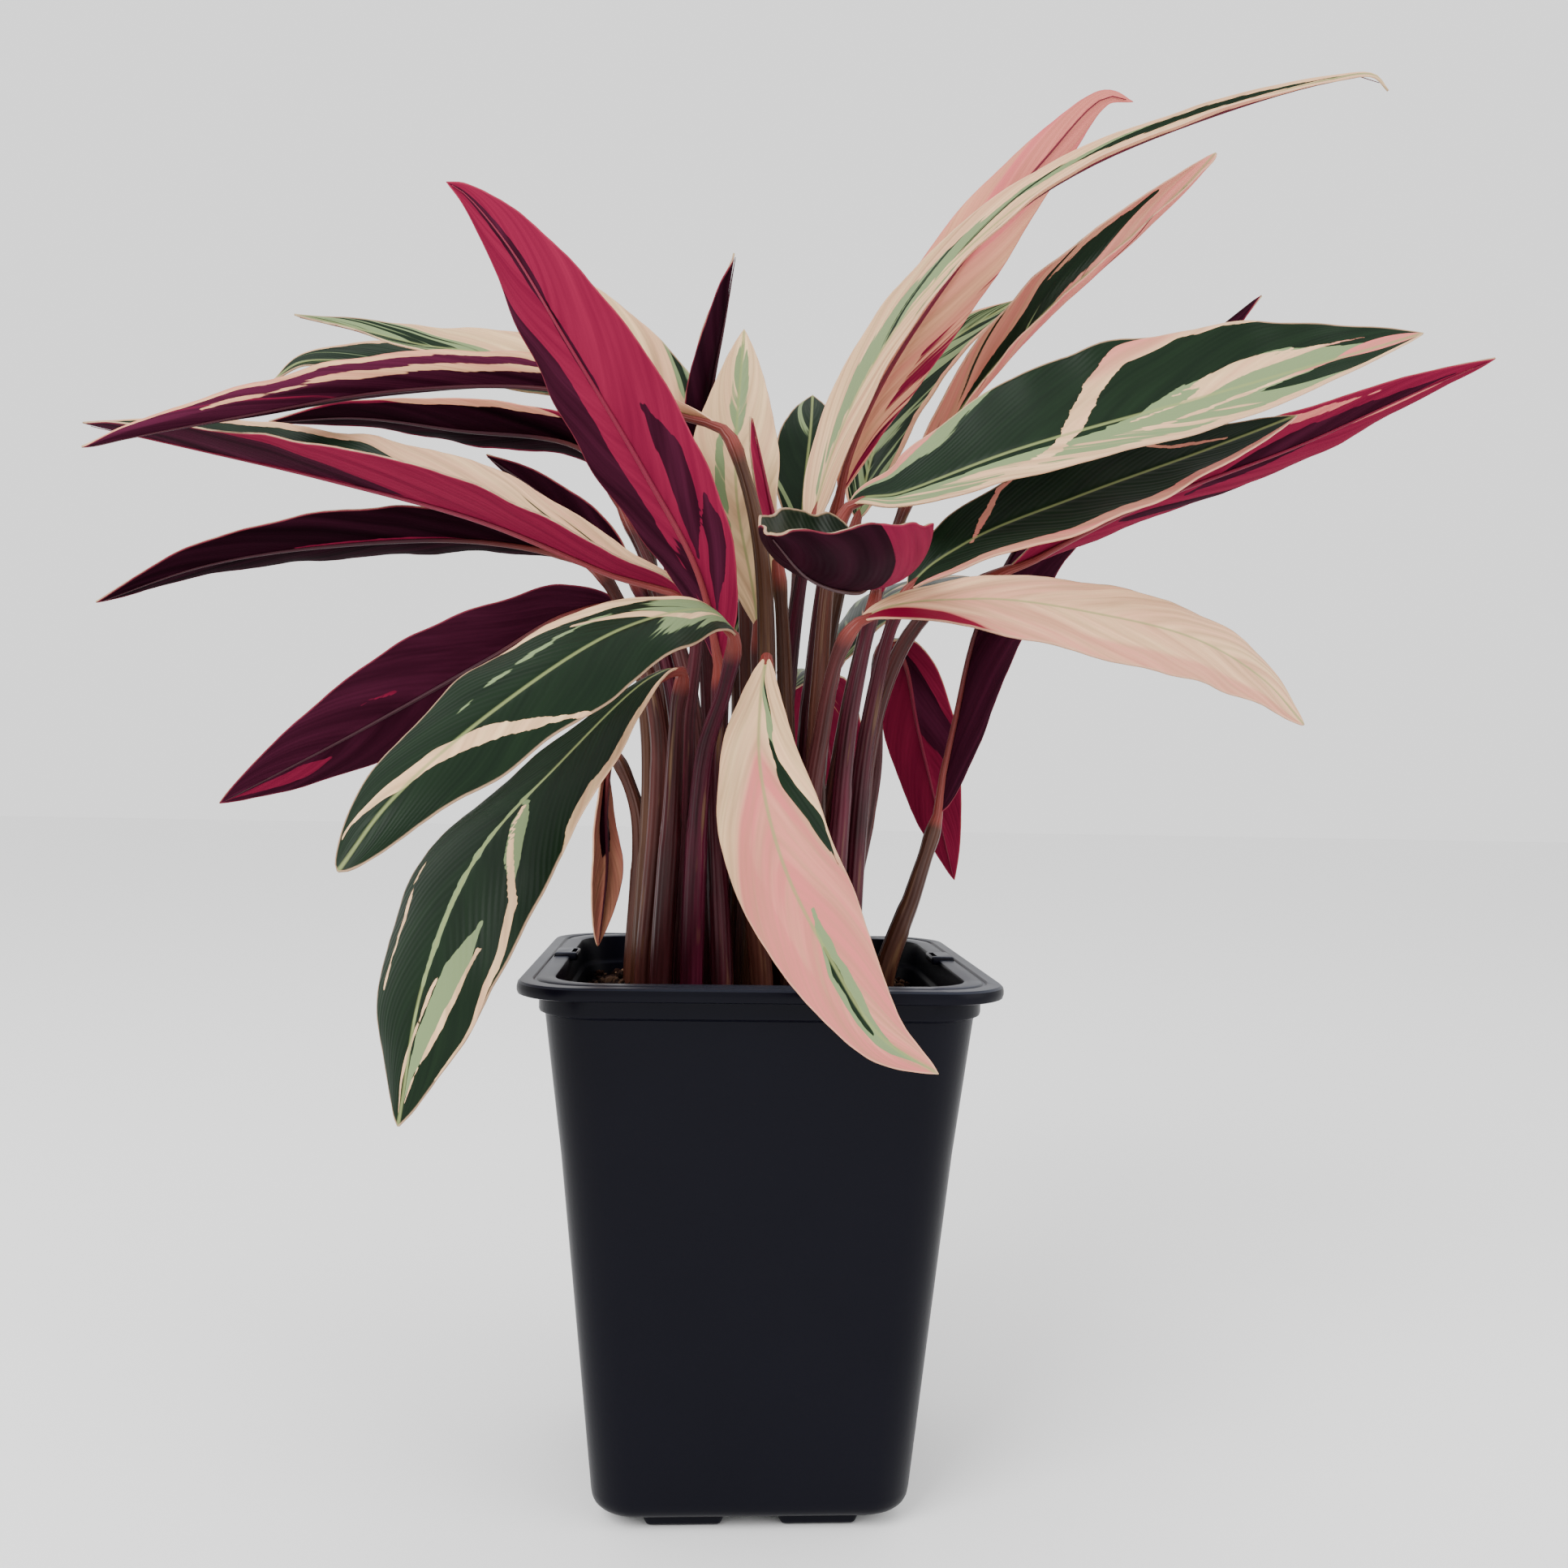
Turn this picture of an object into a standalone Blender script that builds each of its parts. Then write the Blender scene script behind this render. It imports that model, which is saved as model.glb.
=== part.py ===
"""Stromanthe in its square nursery pot. Metres, +Z up, origin on the floor under the plant's middle."""
import math

import bmesh
import bpy
import numpy as np
from mathutils import Vector

MM = 0.001

# Pot, in millimetres
POT_HEIGHT = 173.5
RIM_WIDTH = 150.0
OPENING_WIDTH = 127.6
BODY_TOP_WIDTH = 133.8
BODY_BASE_WIDTH = 102.2
COLLAR_WIDTH = 137.4
CORNER_RADIUS = 13.0
FOOT_HEIGHT = 4.0
FOOT_INNER, FOOT_X, FOOT_Y = 9.3, 32.4, 45.6
DRAIN_RADIUS = 5.0
DRAIN_SPACING = 39.0
CLIP_LENGTH, CLIP_WIDTH, CLIP_HEIGHT = 15.0, 8.0, 1.6

# Soil, in millimetres
SOIL_TOP = 160.0
SOIL_CLEARANCE = 0.4
SOIL_CELLS = 13
HOLE_DEPTH = 12.0
HOLE_CLEARANCE = 0.35

# Leaves, in millimetres
BLADE_THICKNESS = 0.8
STEM_RADIUS = 3.5
NECK_RADIUS = 1.7
STEM_STATIONS = (0.0, 0.34, 0.62, 0.82, 0.93)
BLADE_STATIONS = 11

# Every leaf: its place in the soil, points along its stem, and points along its blade from neck to tip.
# side points across the blade, to the right of its upper face, at the neck and at the tip. cup is how
# far the blade rolls upwards there in radians, fold is the lift of both halves about the midrib, and
# peak is where along the blade it is widest. lean widens one half against the other, and a low blunt rounds the tip.
LEAVES = [
    dict(name="tall_magenta_leaf", root=(-12, -27), width=38,
         stem=[(-16, -30, 238)],
         blade=[(-15, -36, 272), (-21, -42, 299), (-39, -48, 331), (-63, -50, 369),
                (-83, -44, 401), (-98, -38, 419), (-104, -36, 423)],
         side=((-0.85, 0.5, -0.1), (-0.45, 0.4, -0.8)), cup=(0.6, 0.4), peak=0.45),
    dict(name="white_striped_leaf", root=(-22, -27), width=35,
         stem=[(-19, -44, 243), (-13, -54, 264)],
         blade=[(-11, -62, 279), (-18, -72, 285), (-42, -96, 277), (-73, -126, 252),
                (-95, -146, 228), (-105, -152, 212)],
         side=((-0.45, 0.65, 0.6), (-0.85, 0.35, 0.4)), cup=(-0.3, -0.4), blunt=0.6, peak=0.5),
    dict(name="big_dark_leaf", root=(-32, -24), width=52,
         stem=[(-29, -34, 229), (-28, -40, 256)],
         blade=[(-27, -46, 269), (-36, -56, 266), (-61, -78, 239), (-82, -94, 212),
                (-94, -104, 178), (-99, -108, 141)],
         side=((-0.6, 0.7, 0), (-0.85, 0.5, 0.1)), cup=(-0.3, -0.4), peak=0.58),
    dict(name="pink_front_leaf", root=(1, -28), width=32,
         stem=[(-5, -42, 230), (-2, -56, 259)],
         blade=[(-1, -66, 272), (-3, -76, 259), (-3, -86, 238), (4, -92, 211), (17, -97, 186),
                (31, -99, 165), (48, -98, 154)],
         side=((-1, 0.1, 0), (-1, -0.1, 0)), cup=(-0.5, -0.3), peak=0.5),
    dict(name="cupped_front_leaf", root=(24, -22), width=62,
         stem=[(28, -26, 252)],
         blade=[(36, -30, 297), (34, -50, 300), (24, -86, 291), (7, -130, 288), (-5, -168, 292)],
         side=((-1, 0.15, 0.15), (-0.95, 0.3, 0.1)), cup=(1.8, 1.4), peak=0.45),
    dict(name="cream_right_leaf", root=(13, -27), width=37,
         stem=[(18, -33, 247)],
         blade=[(29, -44, 286), (65, -46, 294), (109, -44, 290), (141, -40, 283), (165, -34, 271),
                (180, -30, 257)],
         side=((0.15, -0.7, -0.7), (-0.5, -0.55, -0.65)), cup=(-0.3, -0.3), blunt=0.75, peak=0.52),
    dict(name="big_green_right_leaf", root=(20, -12), width=44,
         stem=[(19, -16, 266)],
         blade=[(28, -16, 328), (44, -26, 331), (79, -40, 343), (143, -46, 362), (214, -38, 386)],
         side=((-0.15, -0.5, -0.85), (0.35, -0.4, -0.85)), cup=(0.2, 0.3), lean=-0.35, peak=0.45),
    dict(name="dark_green_right_leaf", root=(31, -14), width=36,
         stem=[(36, -14, 253)],
         blade=[(49, -14, 301), (67, -20, 316), (104, -24, 332), (145, -24, 348), (179, -22, 362)],
         side=((0.35, -0.65, -0.65), (0.35, -0.6, -0.7)), cup=(0.3, 0.3), peak=0.42),
    dict(name="magenta_right_leaf", root=(33, 8), width=29,
         stem=[(42, 8, 262), (58, 2, 295)],
         blade=[(85, -2, 310), (132, 2, 335), (189, 0, 358), (226, -14, 375), (246, -25, 383)],
         side=((-0.2, -0.8, 0.55), (-0.55, -0.65, 0.5)), cup=(0.5, 0.6), peak=0.45),
    dict(name="dark_funnel_leaf", root=(44, -4), width=40,
         stem=[(54, -4, 197)],
         blade=[(63, 2, 224), (70, 6, 255), (80, 14, 294), (104, 26, 336), (140, 38, 377),
                (174, 48, 410), (195, 52, 428)],
         side=((-0.45, 0.9, -0.05), (-0.4, 0.85, 0.3)), cup=(2.3, 1.4), peak=0.42),
    dict(name="cream_upright_leaf", root=(-4, -5), width=30,
         stem=[(-3, -8, 238)],
         blade=[(-2, -14, 286), (-10, -4, 336), (-8, 6, 393)],
         side=((1, 0, 0.15), (1, 0, -0.05)), cup=(0.5, 0.3), peak=0.5),
    dict(name="magenta_sliver_leaf", root=(9, -12), width=13,
         stem=[(8, -15, 258)],
         blade=[(4, -17, 309), (-1, -17, 333), (-6, -16, 357)],
         side=((-0.2, -0.95, -0.05), (-0.3, -0.95, -0.05)), cup=(0.6, 0.5), peak=0.45),
    dict(name="furled_spike_leaf", root=(-12, 6), width=22,
         stem=[(-18, 8, 267)],
         blade=[(-23, 10, 338), (-20, 10, 373), (-16, 10, 396), (-12, 10, 421)],
         side=((0.1, -1, 0), (0.1, -1, 0)), cup=(2.4, 2.4), peak=0.35),
    dict(name="cream_green_back_leaf", root=(-3, 14), width=24,
         stem=[(-4, 14, 267)],
         blade=[(-11, 16, 334), (-29, 22, 364), (-49, 28, 394), (-69, 34, 419)],
         side=((0.8, 0.4, 0.4), (0.75, 0.4, 0.5)), cup=(0.3, 0.3), peak=0.45),
    dict(name="long_rolled_left_leaf", root=(-2, -17), width=25,
         stem=[(1, -24, 265), (-2, -30, 310), (-8, -29, 335)],
         blade=[(-15, -26, 350), (-40, -16, 360), (-78, -10, 367), (-127, -6, 365),
                (-174, -10, 354), (-207, -8, 347), (-230, -2, 343)],
         side=((0.25, 0.9, -0.35), (0.3, 0.95, -0.25)), cup=(1.2, 1.5), peak=0.5),
    dict(name="folded_left_leaf", root=(-27, -14), width=38,
         stem=[(-25, -22, 251)],
         blade=[(-25, -24, 293), (-53, -22, 304), (-93, -16, 320), (-150, 0, 336), (-197, 18, 348),
                (-246, 36, 360)],
         side=((0.2, 0.95, 0.3), (0.4, 0.8, 0.4)), cup=(0.2, 0.2), fold=0.75, peak=0.45),
    dict(name="burgundy_left_leaf", root=(-38, -4), width=29,
         stem=[(-35, -6, 252), (-49, 2, 295)],
         blade=[(-61, 8, 310), (-97, 12, 318), (-153, 14, 315), (-196, 16, 307), (-232, 16, 293)],
         side=((0, 0.9, -0.45), (0.15, 0.9, -0.45)), cup=(0.5, 0.5), peak=0.42),
    dict(name="purple_low_left_leaf", root=(-40, 10), width=40,
         stem=[(-39, 10, 252)],
         blade=[(-50, 12, 295), (-68, 12, 293), (-96, 10, 276), (-142, 6, 248), (-184, 2, 224)],
         side=((0.1, 0.6, -0.8), (0.4, 0.55, -0.75)), cup=(0.4, 0.4), peak=0.45),
    dict(name="upper_twisted_left_leaf", root=(-26, 16), width=23,
         stem=[(-28, 18, 267)],
         blade=[(-45, 34, 372), (-60, 42, 385), (-98, 54, 395), (-130, 58, 399), (-155, 60, 405),
                (-179, 62, 410)],
         side=((0.7, 0.35, 0.65), (0.2, 0.8, 0.6)), cup=(0.6, 0.7), peak=0.4),
    dict(name="green_hooked_left_leaf", root=(-34, 26), width=26,
         stem=[(-34, 32, 268)],
         blade=[(-59, 60, 379), (-75, 72, 388), (-109, 82, 397), (-162, 90, 401), (-185, 92, 400),
                (-195, 92, 393)],
         side=((0.65, 0.35, 0.65), (-0.5, 0.55, 0.7)), cup=(0.5, 0.6), peak=0.45),
    dict(name="narrow_dark_left_leaf", root=(-30, 3), width=17,
         stem=[(-29, 0, 257)],
         blade=[(-47, 6, 308), (-72, 14, 331), (-99, 22, 350)],
         side=((-0.3, 0.75, -0.6), (-0.2, 0.8, -0.6)), cup=(0.5, 0.5), peak=0.4),
    dict(name="dark_pink_edged_left_leaf", root=(-18, -4), width=24,
         stem=[(-25, -4, 266)],
         blade=[(-50, 12, 331), (-64, 20, 353), (-112, 30, 361), (-149, 38, 366), (-183, 46, 365)],
         side=((-0.25, 0.85, -0.45), (0.2, 0.85, -0.45)), cup=(0.5, 0.5), peak=0.42),
    dict(name="small_hanging_leaf", root=(-43, 20), width=16,
         stem=[(-43, 26, 223)],
         blade=[(-54, 32, 245), (-56, 34, 225), (-55, 34, 201), (-57, 32, 173)],
         side=((0.3, 0.9, 0), (0.8, 0.6, 0)), cup=(-0.3, -0.3), peak=0.55),
    dict(name="long_thin_leaf", root=(6, 1), width=20,
         stem=[(8, -2, 253)],
         blade=[(16, -4, 322), (28, -2, 362), (48, -6, 397), (79, -14, 428), (106, -16, 446),
                (152, -14, 467), (193, -12, 481), (208, -12, 483), (213, -12, 478)],
         side=((0.8, -0.55, -0.2), (-0.6, -0.4, -0.65)), cup=(0.5, 1.3), peak=0.28),
    dict(name="peach_tall_leaf", root=(15, 5), width=26,
         stem=[(18, 6, 267)],
         blade=[(27, 8, 336), (40, 10, 373), (67, 6, 417), (96, 2, 455), (117, 0, 477),
                (127, 0, 476)],
         side=((-0.85, 0.45, 0.3), (0.1, -0.35, 0.95)), cup=(0.4, 0.3), peak=0.45),
    dict(name="rolled_pink_green_leaf", root=(22, 14), width=26,
         stem=[(34, 18, 268)],
         blade=[(56, 22, 345), (78, 24, 380), (105, 22, 411), (133, 16, 436), (152, 10, 454),
                (160, 8, 463)],
         side=((0.65, -0.7, -0.35), (0.45, -0.7, -0.55)), cup=(1.6, 1.3), blunt=0.65, peak=0.5),
    dict(name="grey_green_back_leaf", root=(10, 18), width=25,
         stem=[(22, 24, 268)],
         blade=[(36, 34, 333), (46, 38, 370), (68, 42, 400), (98, 46, 421)],
         side=((0.9, -0.35, -0.2), (0.55, -0.45, -0.7)), cup=(0.4, 0.5), peak=0.4),
    dict(name="dark_green_back_leaf", root=(4, 28), width=26,
         stem=[(11, 34, 269)],
         blade=[(16, 50, 323), (18, 62, 350), (21, 76, 376), (23, 96, 395)],
         side=((1, -0.05, -0.05), (1, -0.05, -0.05)), cup=(0.3, 0.3), peak=0.5),
    dict(name="hanging_magenta_leaf", root=(30, 22), width=28,
         stem=[(43, 26, 239), (44, 30, 275)],
         blade=[(47, 34, 287), (52, 42, 289), (58, 50, 280), (63, 54, 259), (72, 54, 224),
                (78, 50, 198)],
         side=((0.9, -0.3, 0), (0.9, -0.4, 0)), cup=(-0.2, 0.2), peak=0.45),
    dict(name="back_centre_leaf", root=(-6, 31), width=36,
         stem=[(-6, 40, 235)],
         blade=[(-8, 52, 285), (-12, 80, 325), (-20, 120, 340), (-28, 168, 317)],
         side=((1, 0, 0), (1, 0.1, 0)), cup=(0.3, 0.2), peak=0.45),
    dict(name="back_left_leaf", root=(-25, 33), width=40,
         stem=[(-30, 42, 235)],
         blade=[(-38, 56, 280), (-62, 84, 300), (-100, 118, 285), (-140, 145, 235)],
         side=((0.75, 0.65, 0), (0.65, 0.75, 0)), cup=(-0.3, -0.3), peak=0.45),
    dict(name="back_right_leaf", root=(20, 34), width=38,
         stem=[(24, 44, 235)],
         blade=[(32, 60, 280), (54, 86, 312), (86, 116, 324), (118, 140, 316)],
         side=((0.65, -0.75, 0), (0.55, -0.85, 0)), cup=(-0.3, -0.3), peak=0.45),
    dict(name="back_magenta_leaf", root=(8, 38), width=34,
         stem=[(10, 50, 235)],
         blade=[(14, 62, 270), (24, 92, 280), (36, 122, 245), (44, 140, 195)],
         side=((0.95, -0.3, 0), (0.95, -0.3, 0)), cup=(-0.3, -0.3), peak=0.45),
    dict(name="back_tall_leaf", root=(-15, 24), width=28,
         stem=[(-14, 30, 235)],
         blade=[(-12, 40, 295), (-12, 60, 345), (-14, 85, 380), (-18, 110, 393)],
         side=((1, 0, 0), (1, 0.1, 0)), cup=(0.4, 0.3), peak=0.45),
    dict(name="back_low_leaf", root=(-14, 42), width=32,
         stem=[(-14, 52, 225)],
         blade=[(-15, 64, 256), (-20, 98, 252), (-24, 126, 215), (-26, 138, 165)],
         side=((1, 0, 0), (1, 0, 0)), cup=(-0.3, -0.3), peak=0.45),
]


def clean_scene():
    for thing in list(bpy.data.objects):
        bpy.data.objects.remove(thing, do_unlink=True)


def collection(name):
    group = bpy.data.collections.new(name)
    bpy.context.scene.collection.children.link(group)
    return group


def material(name, colour, roughness, metallic=0.0):
    mat = bpy.data.materials.new(name)
    mat.use_nodes = True
    shader = mat.node_tree.nodes["Principled BSDF"]
    shader.inputs["Base Color"].default_value = (*colour, 1.0)
    shader.inputs["Roughness"].default_value = roughness
    shader.inputs["Metallic"].default_value = metallic
    mat.diffuse_color = (*colour, 1.0)
    return mat


def new_object(name, bm, group, mat=None):
    bmesh.ops.recalc_face_normals(bm, faces=bm.faces)
    mesh = bpy.data.meshes.new(name)
    bm.to_mesh(mesh)
    bm.free()
    obj = bpy.data.objects.new(name, mesh)
    group.objects.link(obj)
    if mat:
        mesh.materials.append(mat)
    return obj


def boolean(target, operation, cutter, solver="MANIFOLD"):
    mod = target.modifiers.new(operation.title(), "BOOLEAN")
    mod.operation = operation
    mod.solver = solver
    mod.object = cutter
    cutter.hide_render = True
    cutter.display_type = "WIRE"


# Pot
def rounded_square_ring(bm, width, radius, z):
    plane = bmesh.ops.create_grid(bm, x_segments=1, y_segments=1, size=width / 2 * MM)
    rounded = bmesh.ops.bevel(bm, geom=plane["verts"], offset=radius * MM, offset_type="OFFSET",
                              segments=5, profile=0.5, affect="VERTICES")
    faces = [f for f in bm.faces if f.is_valid]
    edges = list(faces[0].edges)
    for vert in faces[0].verts:
        vert.co.z = z * MM
    bmesh.ops.delete(bm, geom=faces, context="FACES_ONLY")
    return edges


def stacked_rings(profile):
    """A closed body swept up a rounded square: each step extrudes the ring and scales it to a width."""
    bm = bmesh.new()
    width, z = profile[0]
    edges = rounded_square_ring(bm, width, CORNER_RADIUS * width / BODY_TOP_WIDTH, z)
    first = list(edges)
    for new_width, new_z in profile[1:]:
        step = bmesh.ops.extrude_edge_only(bm, edges=edges)["geom"]
        verts = [g for g in step if isinstance(g, bmesh.types.BMVert)]
        edges = [g for g in step if isinstance(g, bmesh.types.BMEdge)]
        for vert in verts:
            vert.co.x *= new_width / width
            vert.co.y *= new_width / width
            vert.co.z = new_z * MM
        width = new_width
    for loop in (first, edges):
        bmesh.ops.contextual_create(bm, geom=loop)
    return bm


def pot_profile():
    top, base = POT_HEIGHT, FOOT_HEIGHT
    outside = [(BODY_BASE_WIDTH - 8.5, base), (BODY_BASE_WIDTH - 4.0, base + 0.8),
               (BODY_BASE_WIDTH - 1.0, base + 2.8), (BODY_BASE_WIDTH, base + 5.5),
               (BODY_TOP_WIDTH, top - 10.6),
               (COLLAR_WIDTH, top - 9.6), (COLLAR_WIDTH, top - 4.4), (RIM_WIDTH - 1.8, top - 4.2),
               (RIM_WIDTH, top - 3.2), (RIM_WIDTH, top - 1.2), (RIM_WIDTH - 2.0, top - 0.1),
               (RIM_WIDTH - 9.4, top), (RIM_WIDTH - 10.4, top - 0.5), (RIM_WIDTH - 12.2, top - 0.5),
               (RIM_WIDTH - 13.2, top)]
    inside = [(OPENING_WIDTH + 1.4, top), (OPENING_WIDTH, top - 0.9), (OPENING_WIDTH - 0.6, top - 9.0),
              (OPENING_WIDTH - 2.6, top - 10.2), (BODY_BASE_WIDTH - 4.0, base + 2.4)]
    return outside + inside


def inner_width(z):
    """Width between the pot's inner walls at a height."""
    (low_w, low_z), (high_w, high_z) = pot_profile()[-1], pot_profile()[-2]
    return low_w + (high_w - low_w) * (z - low_z) / (high_z - low_z)


def make_pot(group, cutters, mat):
    pot = new_object("pot", stacked_rings(pot_profile()), group, mat)
    for sx in (-1, 1):
        for sy in (-1, 1):
            bm = bmesh.new()
            bmesh.ops.create_cube(bm, size=1.0)
            for vert in bm.verts:
                flare = 1.0 if vert.co.z > 0 else 0.0
                x = FOOT_INNER - flare * 2 if vert.co.x < 0 else FOOT_X + flare * 2
                y = FOOT_INNER - flare if vert.co.y < 0 else FOOT_Y + flare * 0.4
                vert.co = Vector((sx * x, sy * y, (FOOT_HEIGHT + 1.2) * flare)) * MM
            uprights = [e for e in bm.edges if abs(e.verts[0].co.z - e.verts[1].co.z) > 0.5 * MM]
            bmesh.ops.bevel(bm, geom=uprights, offset=3.0 * MM, segments=2, profile=0.5, affect="EDGES")
            boolean(pot, "UNION", new_object("foot_blank", bm, cutters))
    for side in (-1, 1):
        bm = bmesh.new()
        bmesh.ops.create_cube(bm, size=1.0)
        bmesh.ops.scale(bm, vec=Vector((CLIP_WIDTH, CLIP_LENGTH, CLIP_HEIGHT + 2.0)) * MM, verts=bm.verts)
        uprights = [e for e in bm.edges if abs(e.verts[0].co.z - e.verts[1].co.z) > 0.5 * MM]
        bmesh.ops.bevel(bm, geom=uprights, offset=1.6 * MM, segments=2, profile=0.5, affect="EDGES")
        centre = Vector((side * (OPENING_WIDTH / 2 + 1.6), 6.0, POT_HEIGHT - 1.0 + CLIP_HEIGHT / 2 - 0.8)) * MM
        bmesh.ops.translate(bm, vec=centre, verts=bm.verts)
        boolean(pot, "UNION", new_object("clip_blank", bm, cutters))
        slot = bmesh.new()
        bmesh.ops.create_cube(slot, size=1.0)
        bmesh.ops.scale(slot, vec=Vector((1.4, CLIP_LENGTH - 5.0, 8.0)) * MM, verts=slot.verts)
        bmesh.ops.translate(slot, vec=centre - Vector((side * 2.5 * MM, 0, 0)), verts=slot.verts)
        boolean(pot, "DIFFERENCE", new_object("clip_slot_cutter", slot, cutters))
    for sx, sy in ((0, 0), (-1, 0), (1, 0), (0, -1), (0, 1)):
        bm = bmesh.new()
        bmesh.ops.create_cone(bm, cap_ends=True, segments=16, radius1=DRAIN_RADIUS * MM,
                              radius2=DRAIN_RADIUS * MM, depth=8 * MM)
        spot = Vector((sx * DRAIN_SPACING, sy * DRAIN_SPACING * 1.1, FOOT_HEIGHT + 1.0)) * MM
        bmesh.ops.translate(bm, vec=spot, verts=bm.verts)
        boolean(pot, "DIFFERENCE", new_object("drain_cutter", bm, cutters))
    return pot


# Soil
def soil_height(x, y):
    """Top of the soil in millimetres: mounded to the middle, with low lumps."""
    edge = max(abs(x), abs(y)) / 62.0
    mound = 3.0 * (1 - edge ** 2) - 2.0 * edge ** 8
    lumps = 0.7 * math.sin(x * 0.31 + 1.0) * math.sin(y * 0.27) + 0.5 * math.sin(x * 0.13 - y * 0.19)
    return SOIL_TOP + mound + lumps


def make_soil(group, cutters, mat):
    top_half = inner_width(SOIL_TOP) / 2 - SOIL_CLEARANCE
    floor_z = FOOT_HEIGHT + 2.4 + SOIL_CLEARANCE
    floor_half = inner_width(floor_z) / 2 - SOIL_CLEARANCE
    bm = bmesh.new()
    bmesh.ops.create_grid(bm, x_segments=SOIL_CELLS, y_segments=SOIL_CELLS, size=1.0)
    corner = CORNER_RADIUS / 60.0 + 0.06
    for vert in bm.verts:
        x, y = vert.co.x, vert.co.y
        reach = max(abs(x), abs(y))
        over = max(min(abs(x), abs(y)) / max(reach, 1e-6) - (1 - corner), 0.0)
        pull = 1 - over ** 2 / corner * 0.62 * reach
        x, y = x * top_half * pull, y * top_half * pull
        vert.co = Vector((x, y, soil_height(x, y))) * MM
    lower = bmesh.ops.extrude_face_region(bm, geom=list(bm.faces))["geom"]
    low_verts = [g for g in lower if isinstance(g, bmesh.types.BMVert)]
    for vert in low_verts:
        vert.co.x *= floor_half / top_half
        vert.co.y *= floor_half / top_half
        vert.co.z = floor_z * MM
    low_faces = [g for g in lower if isinstance(g, bmesh.types.BMFace)]
    bmesh.ops.dissolve_faces(bm, faces=low_faces)
    soil = new_object("soil", bm, group, mat)
    holes = bmesh.new()
    for leaf in LEAVES:
        x, y = leaf["root"]
        floor, top = stem_foot(leaf) - 0.35, SOIL_TOP + 9
        made = bmesh.ops.create_cone(holes, cap_ends=True, segments=8, depth=(top - floor) * MM,
                                     radius1=(stem_radius(leaf) / 0.92 + HOLE_CLEARANCE) * MM,
                                     radius2=(stem_radius(leaf) / 0.92 + HOLE_CLEARANCE) * MM)
        bmesh.ops.translate(holes, vec=Vector((x, y, (top + floor) / 2)) * MM, verts=made["verts"])
    boolean(soil, "DIFFERENCE", new_object("stem_hole_cutter", holes, cutters))
    return soil


# Leaves
def stem_radius(leaf):
    return leaf.get("stem_radius", STEM_RADIUS)


def stem_foot(leaf):
    return soil_height(*leaf["root"]) - HOLE_DEPTH


def unit(v):
    return v / np.linalg.norm(v)


def spine(leaf, steps=24):
    """A smooth line up the stem and along the blade, and the number of its point at the neck."""
    x, y = leaf["root"]
    ground = soil_height(x, y)
    points = [(x, y, stem_foot(leaf)), (x, y, ground + 3)] + leaf["stem"] + leaf["blade"]
    points = np.array(points, float)
    knots = np.concatenate([[0], np.cumsum(np.linalg.norm(np.diff(points, axis=0), axis=1) ** 0.5)])
    slopes = np.gradient(points, knots, axis=0)
    for i in range(1, len(points) - 1):
        before = (points[i] - points[i - 1]) / (knots[i] - knots[i - 1])
        after = (points[i + 1] - points[i]) / (knots[i + 1] - knots[i])
        share = (knots[i] - knots[i - 1]) / (knots[i + 1] - knots[i - 1])
        slopes[i] = before * (1 - share) + after * share
    for i in (0, 1):
        slopes[i] = (0, 0, np.linalg.norm(slopes[i]))
    line = []
    for i in range(len(points) - 1):
        span = knots[i + 1] - knots[i]
        for t in np.arange(steps) / steps:
            line.append((2 * t ** 3 - 3 * t ** 2 + 1) * points[i] + (t ** 3 - 2 * t ** 2 + t) * span * slopes[i]
                        + (3 * t ** 2 - 2 * t ** 3) * points[i + 1] + (t ** 3 - t ** 2) * span * slopes[i + 1])
    line.append(points[-1])
    return np.array(line), (2 + len(leaf["stem"])) * steps


def stations(leaf, stem_shares, blade_count):
    """Places along the leaf: centre, heading, distance up the stem and distance along the blade."""
    line, neck = spine(leaf)
    length = np.concatenate([[0], np.cumsum(np.linalg.norm(np.diff(line, axis=0), axis=1))])
    heading = np.gradient(line, length, axis=0)
    up_soil = HOLE_DEPTH + 3
    stem = [0.0] + [up_soil + (length[neck] - up_soil) * share for share in stem_shares]
    share = np.arange(blade_count + 1) / blade_count
    blade = length[neck] + (length[-1] - length[neck]) * (0.75 * share + 0.25 * (1 - np.cos(math.pi * share)) / 2)
    out = []
    for s in stem + list(blade):
        centre = np.array([np.interp(s, length, line[:, k]) for k in range(3)])
        along = unit(np.array([np.interp(s, length, heading[:, k]) for k in range(3)]))
        out.append((centre, along, min(s / length[neck], 1.0),
                    max(s - length[neck], 0.0) / (length[-1] - length[neck])))
    return out


def half_width(leaf, u):
    swell = math.sin(math.pi * u ** (math.log(0.5) / math.log(leaf["peak"]))) if 0 < u < 1 else 0.0
    return max(leaf["width"] / 2 * max(swell, 0.0) ** leaf.get("blunt", 0.85), 0.7)


def blade_offset(leaf, u, v):
    """How far a point of the blade lies beside its midrib, and above it."""
    half = half_width(leaf, u)
    cup = (leaf["cup"][0] * (1 - u) + leaf["cup"][1] * u) * min((half - 0.6) / 3.5, 1.0)
    half *= 1 + leaf.get("lean", 0.0) * (1 if v > 0 else -1)
    fold = leaf.get("fold", 0.0)
    if abs(cup) < 1e-3:
        across, lift = half * v, 0.0
    else:
        across, lift = half * math.sin(cup * v) / cup, half * (1 - math.cos(cup * v)) / cup
    across, lift = (across * math.cos(fold) - abs(lift) * math.sin(fold) * (1 if v > 0 else -1),
                    abs(across) * math.sin(fold) + lift * math.cos(fold))
    return across, lift


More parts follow.
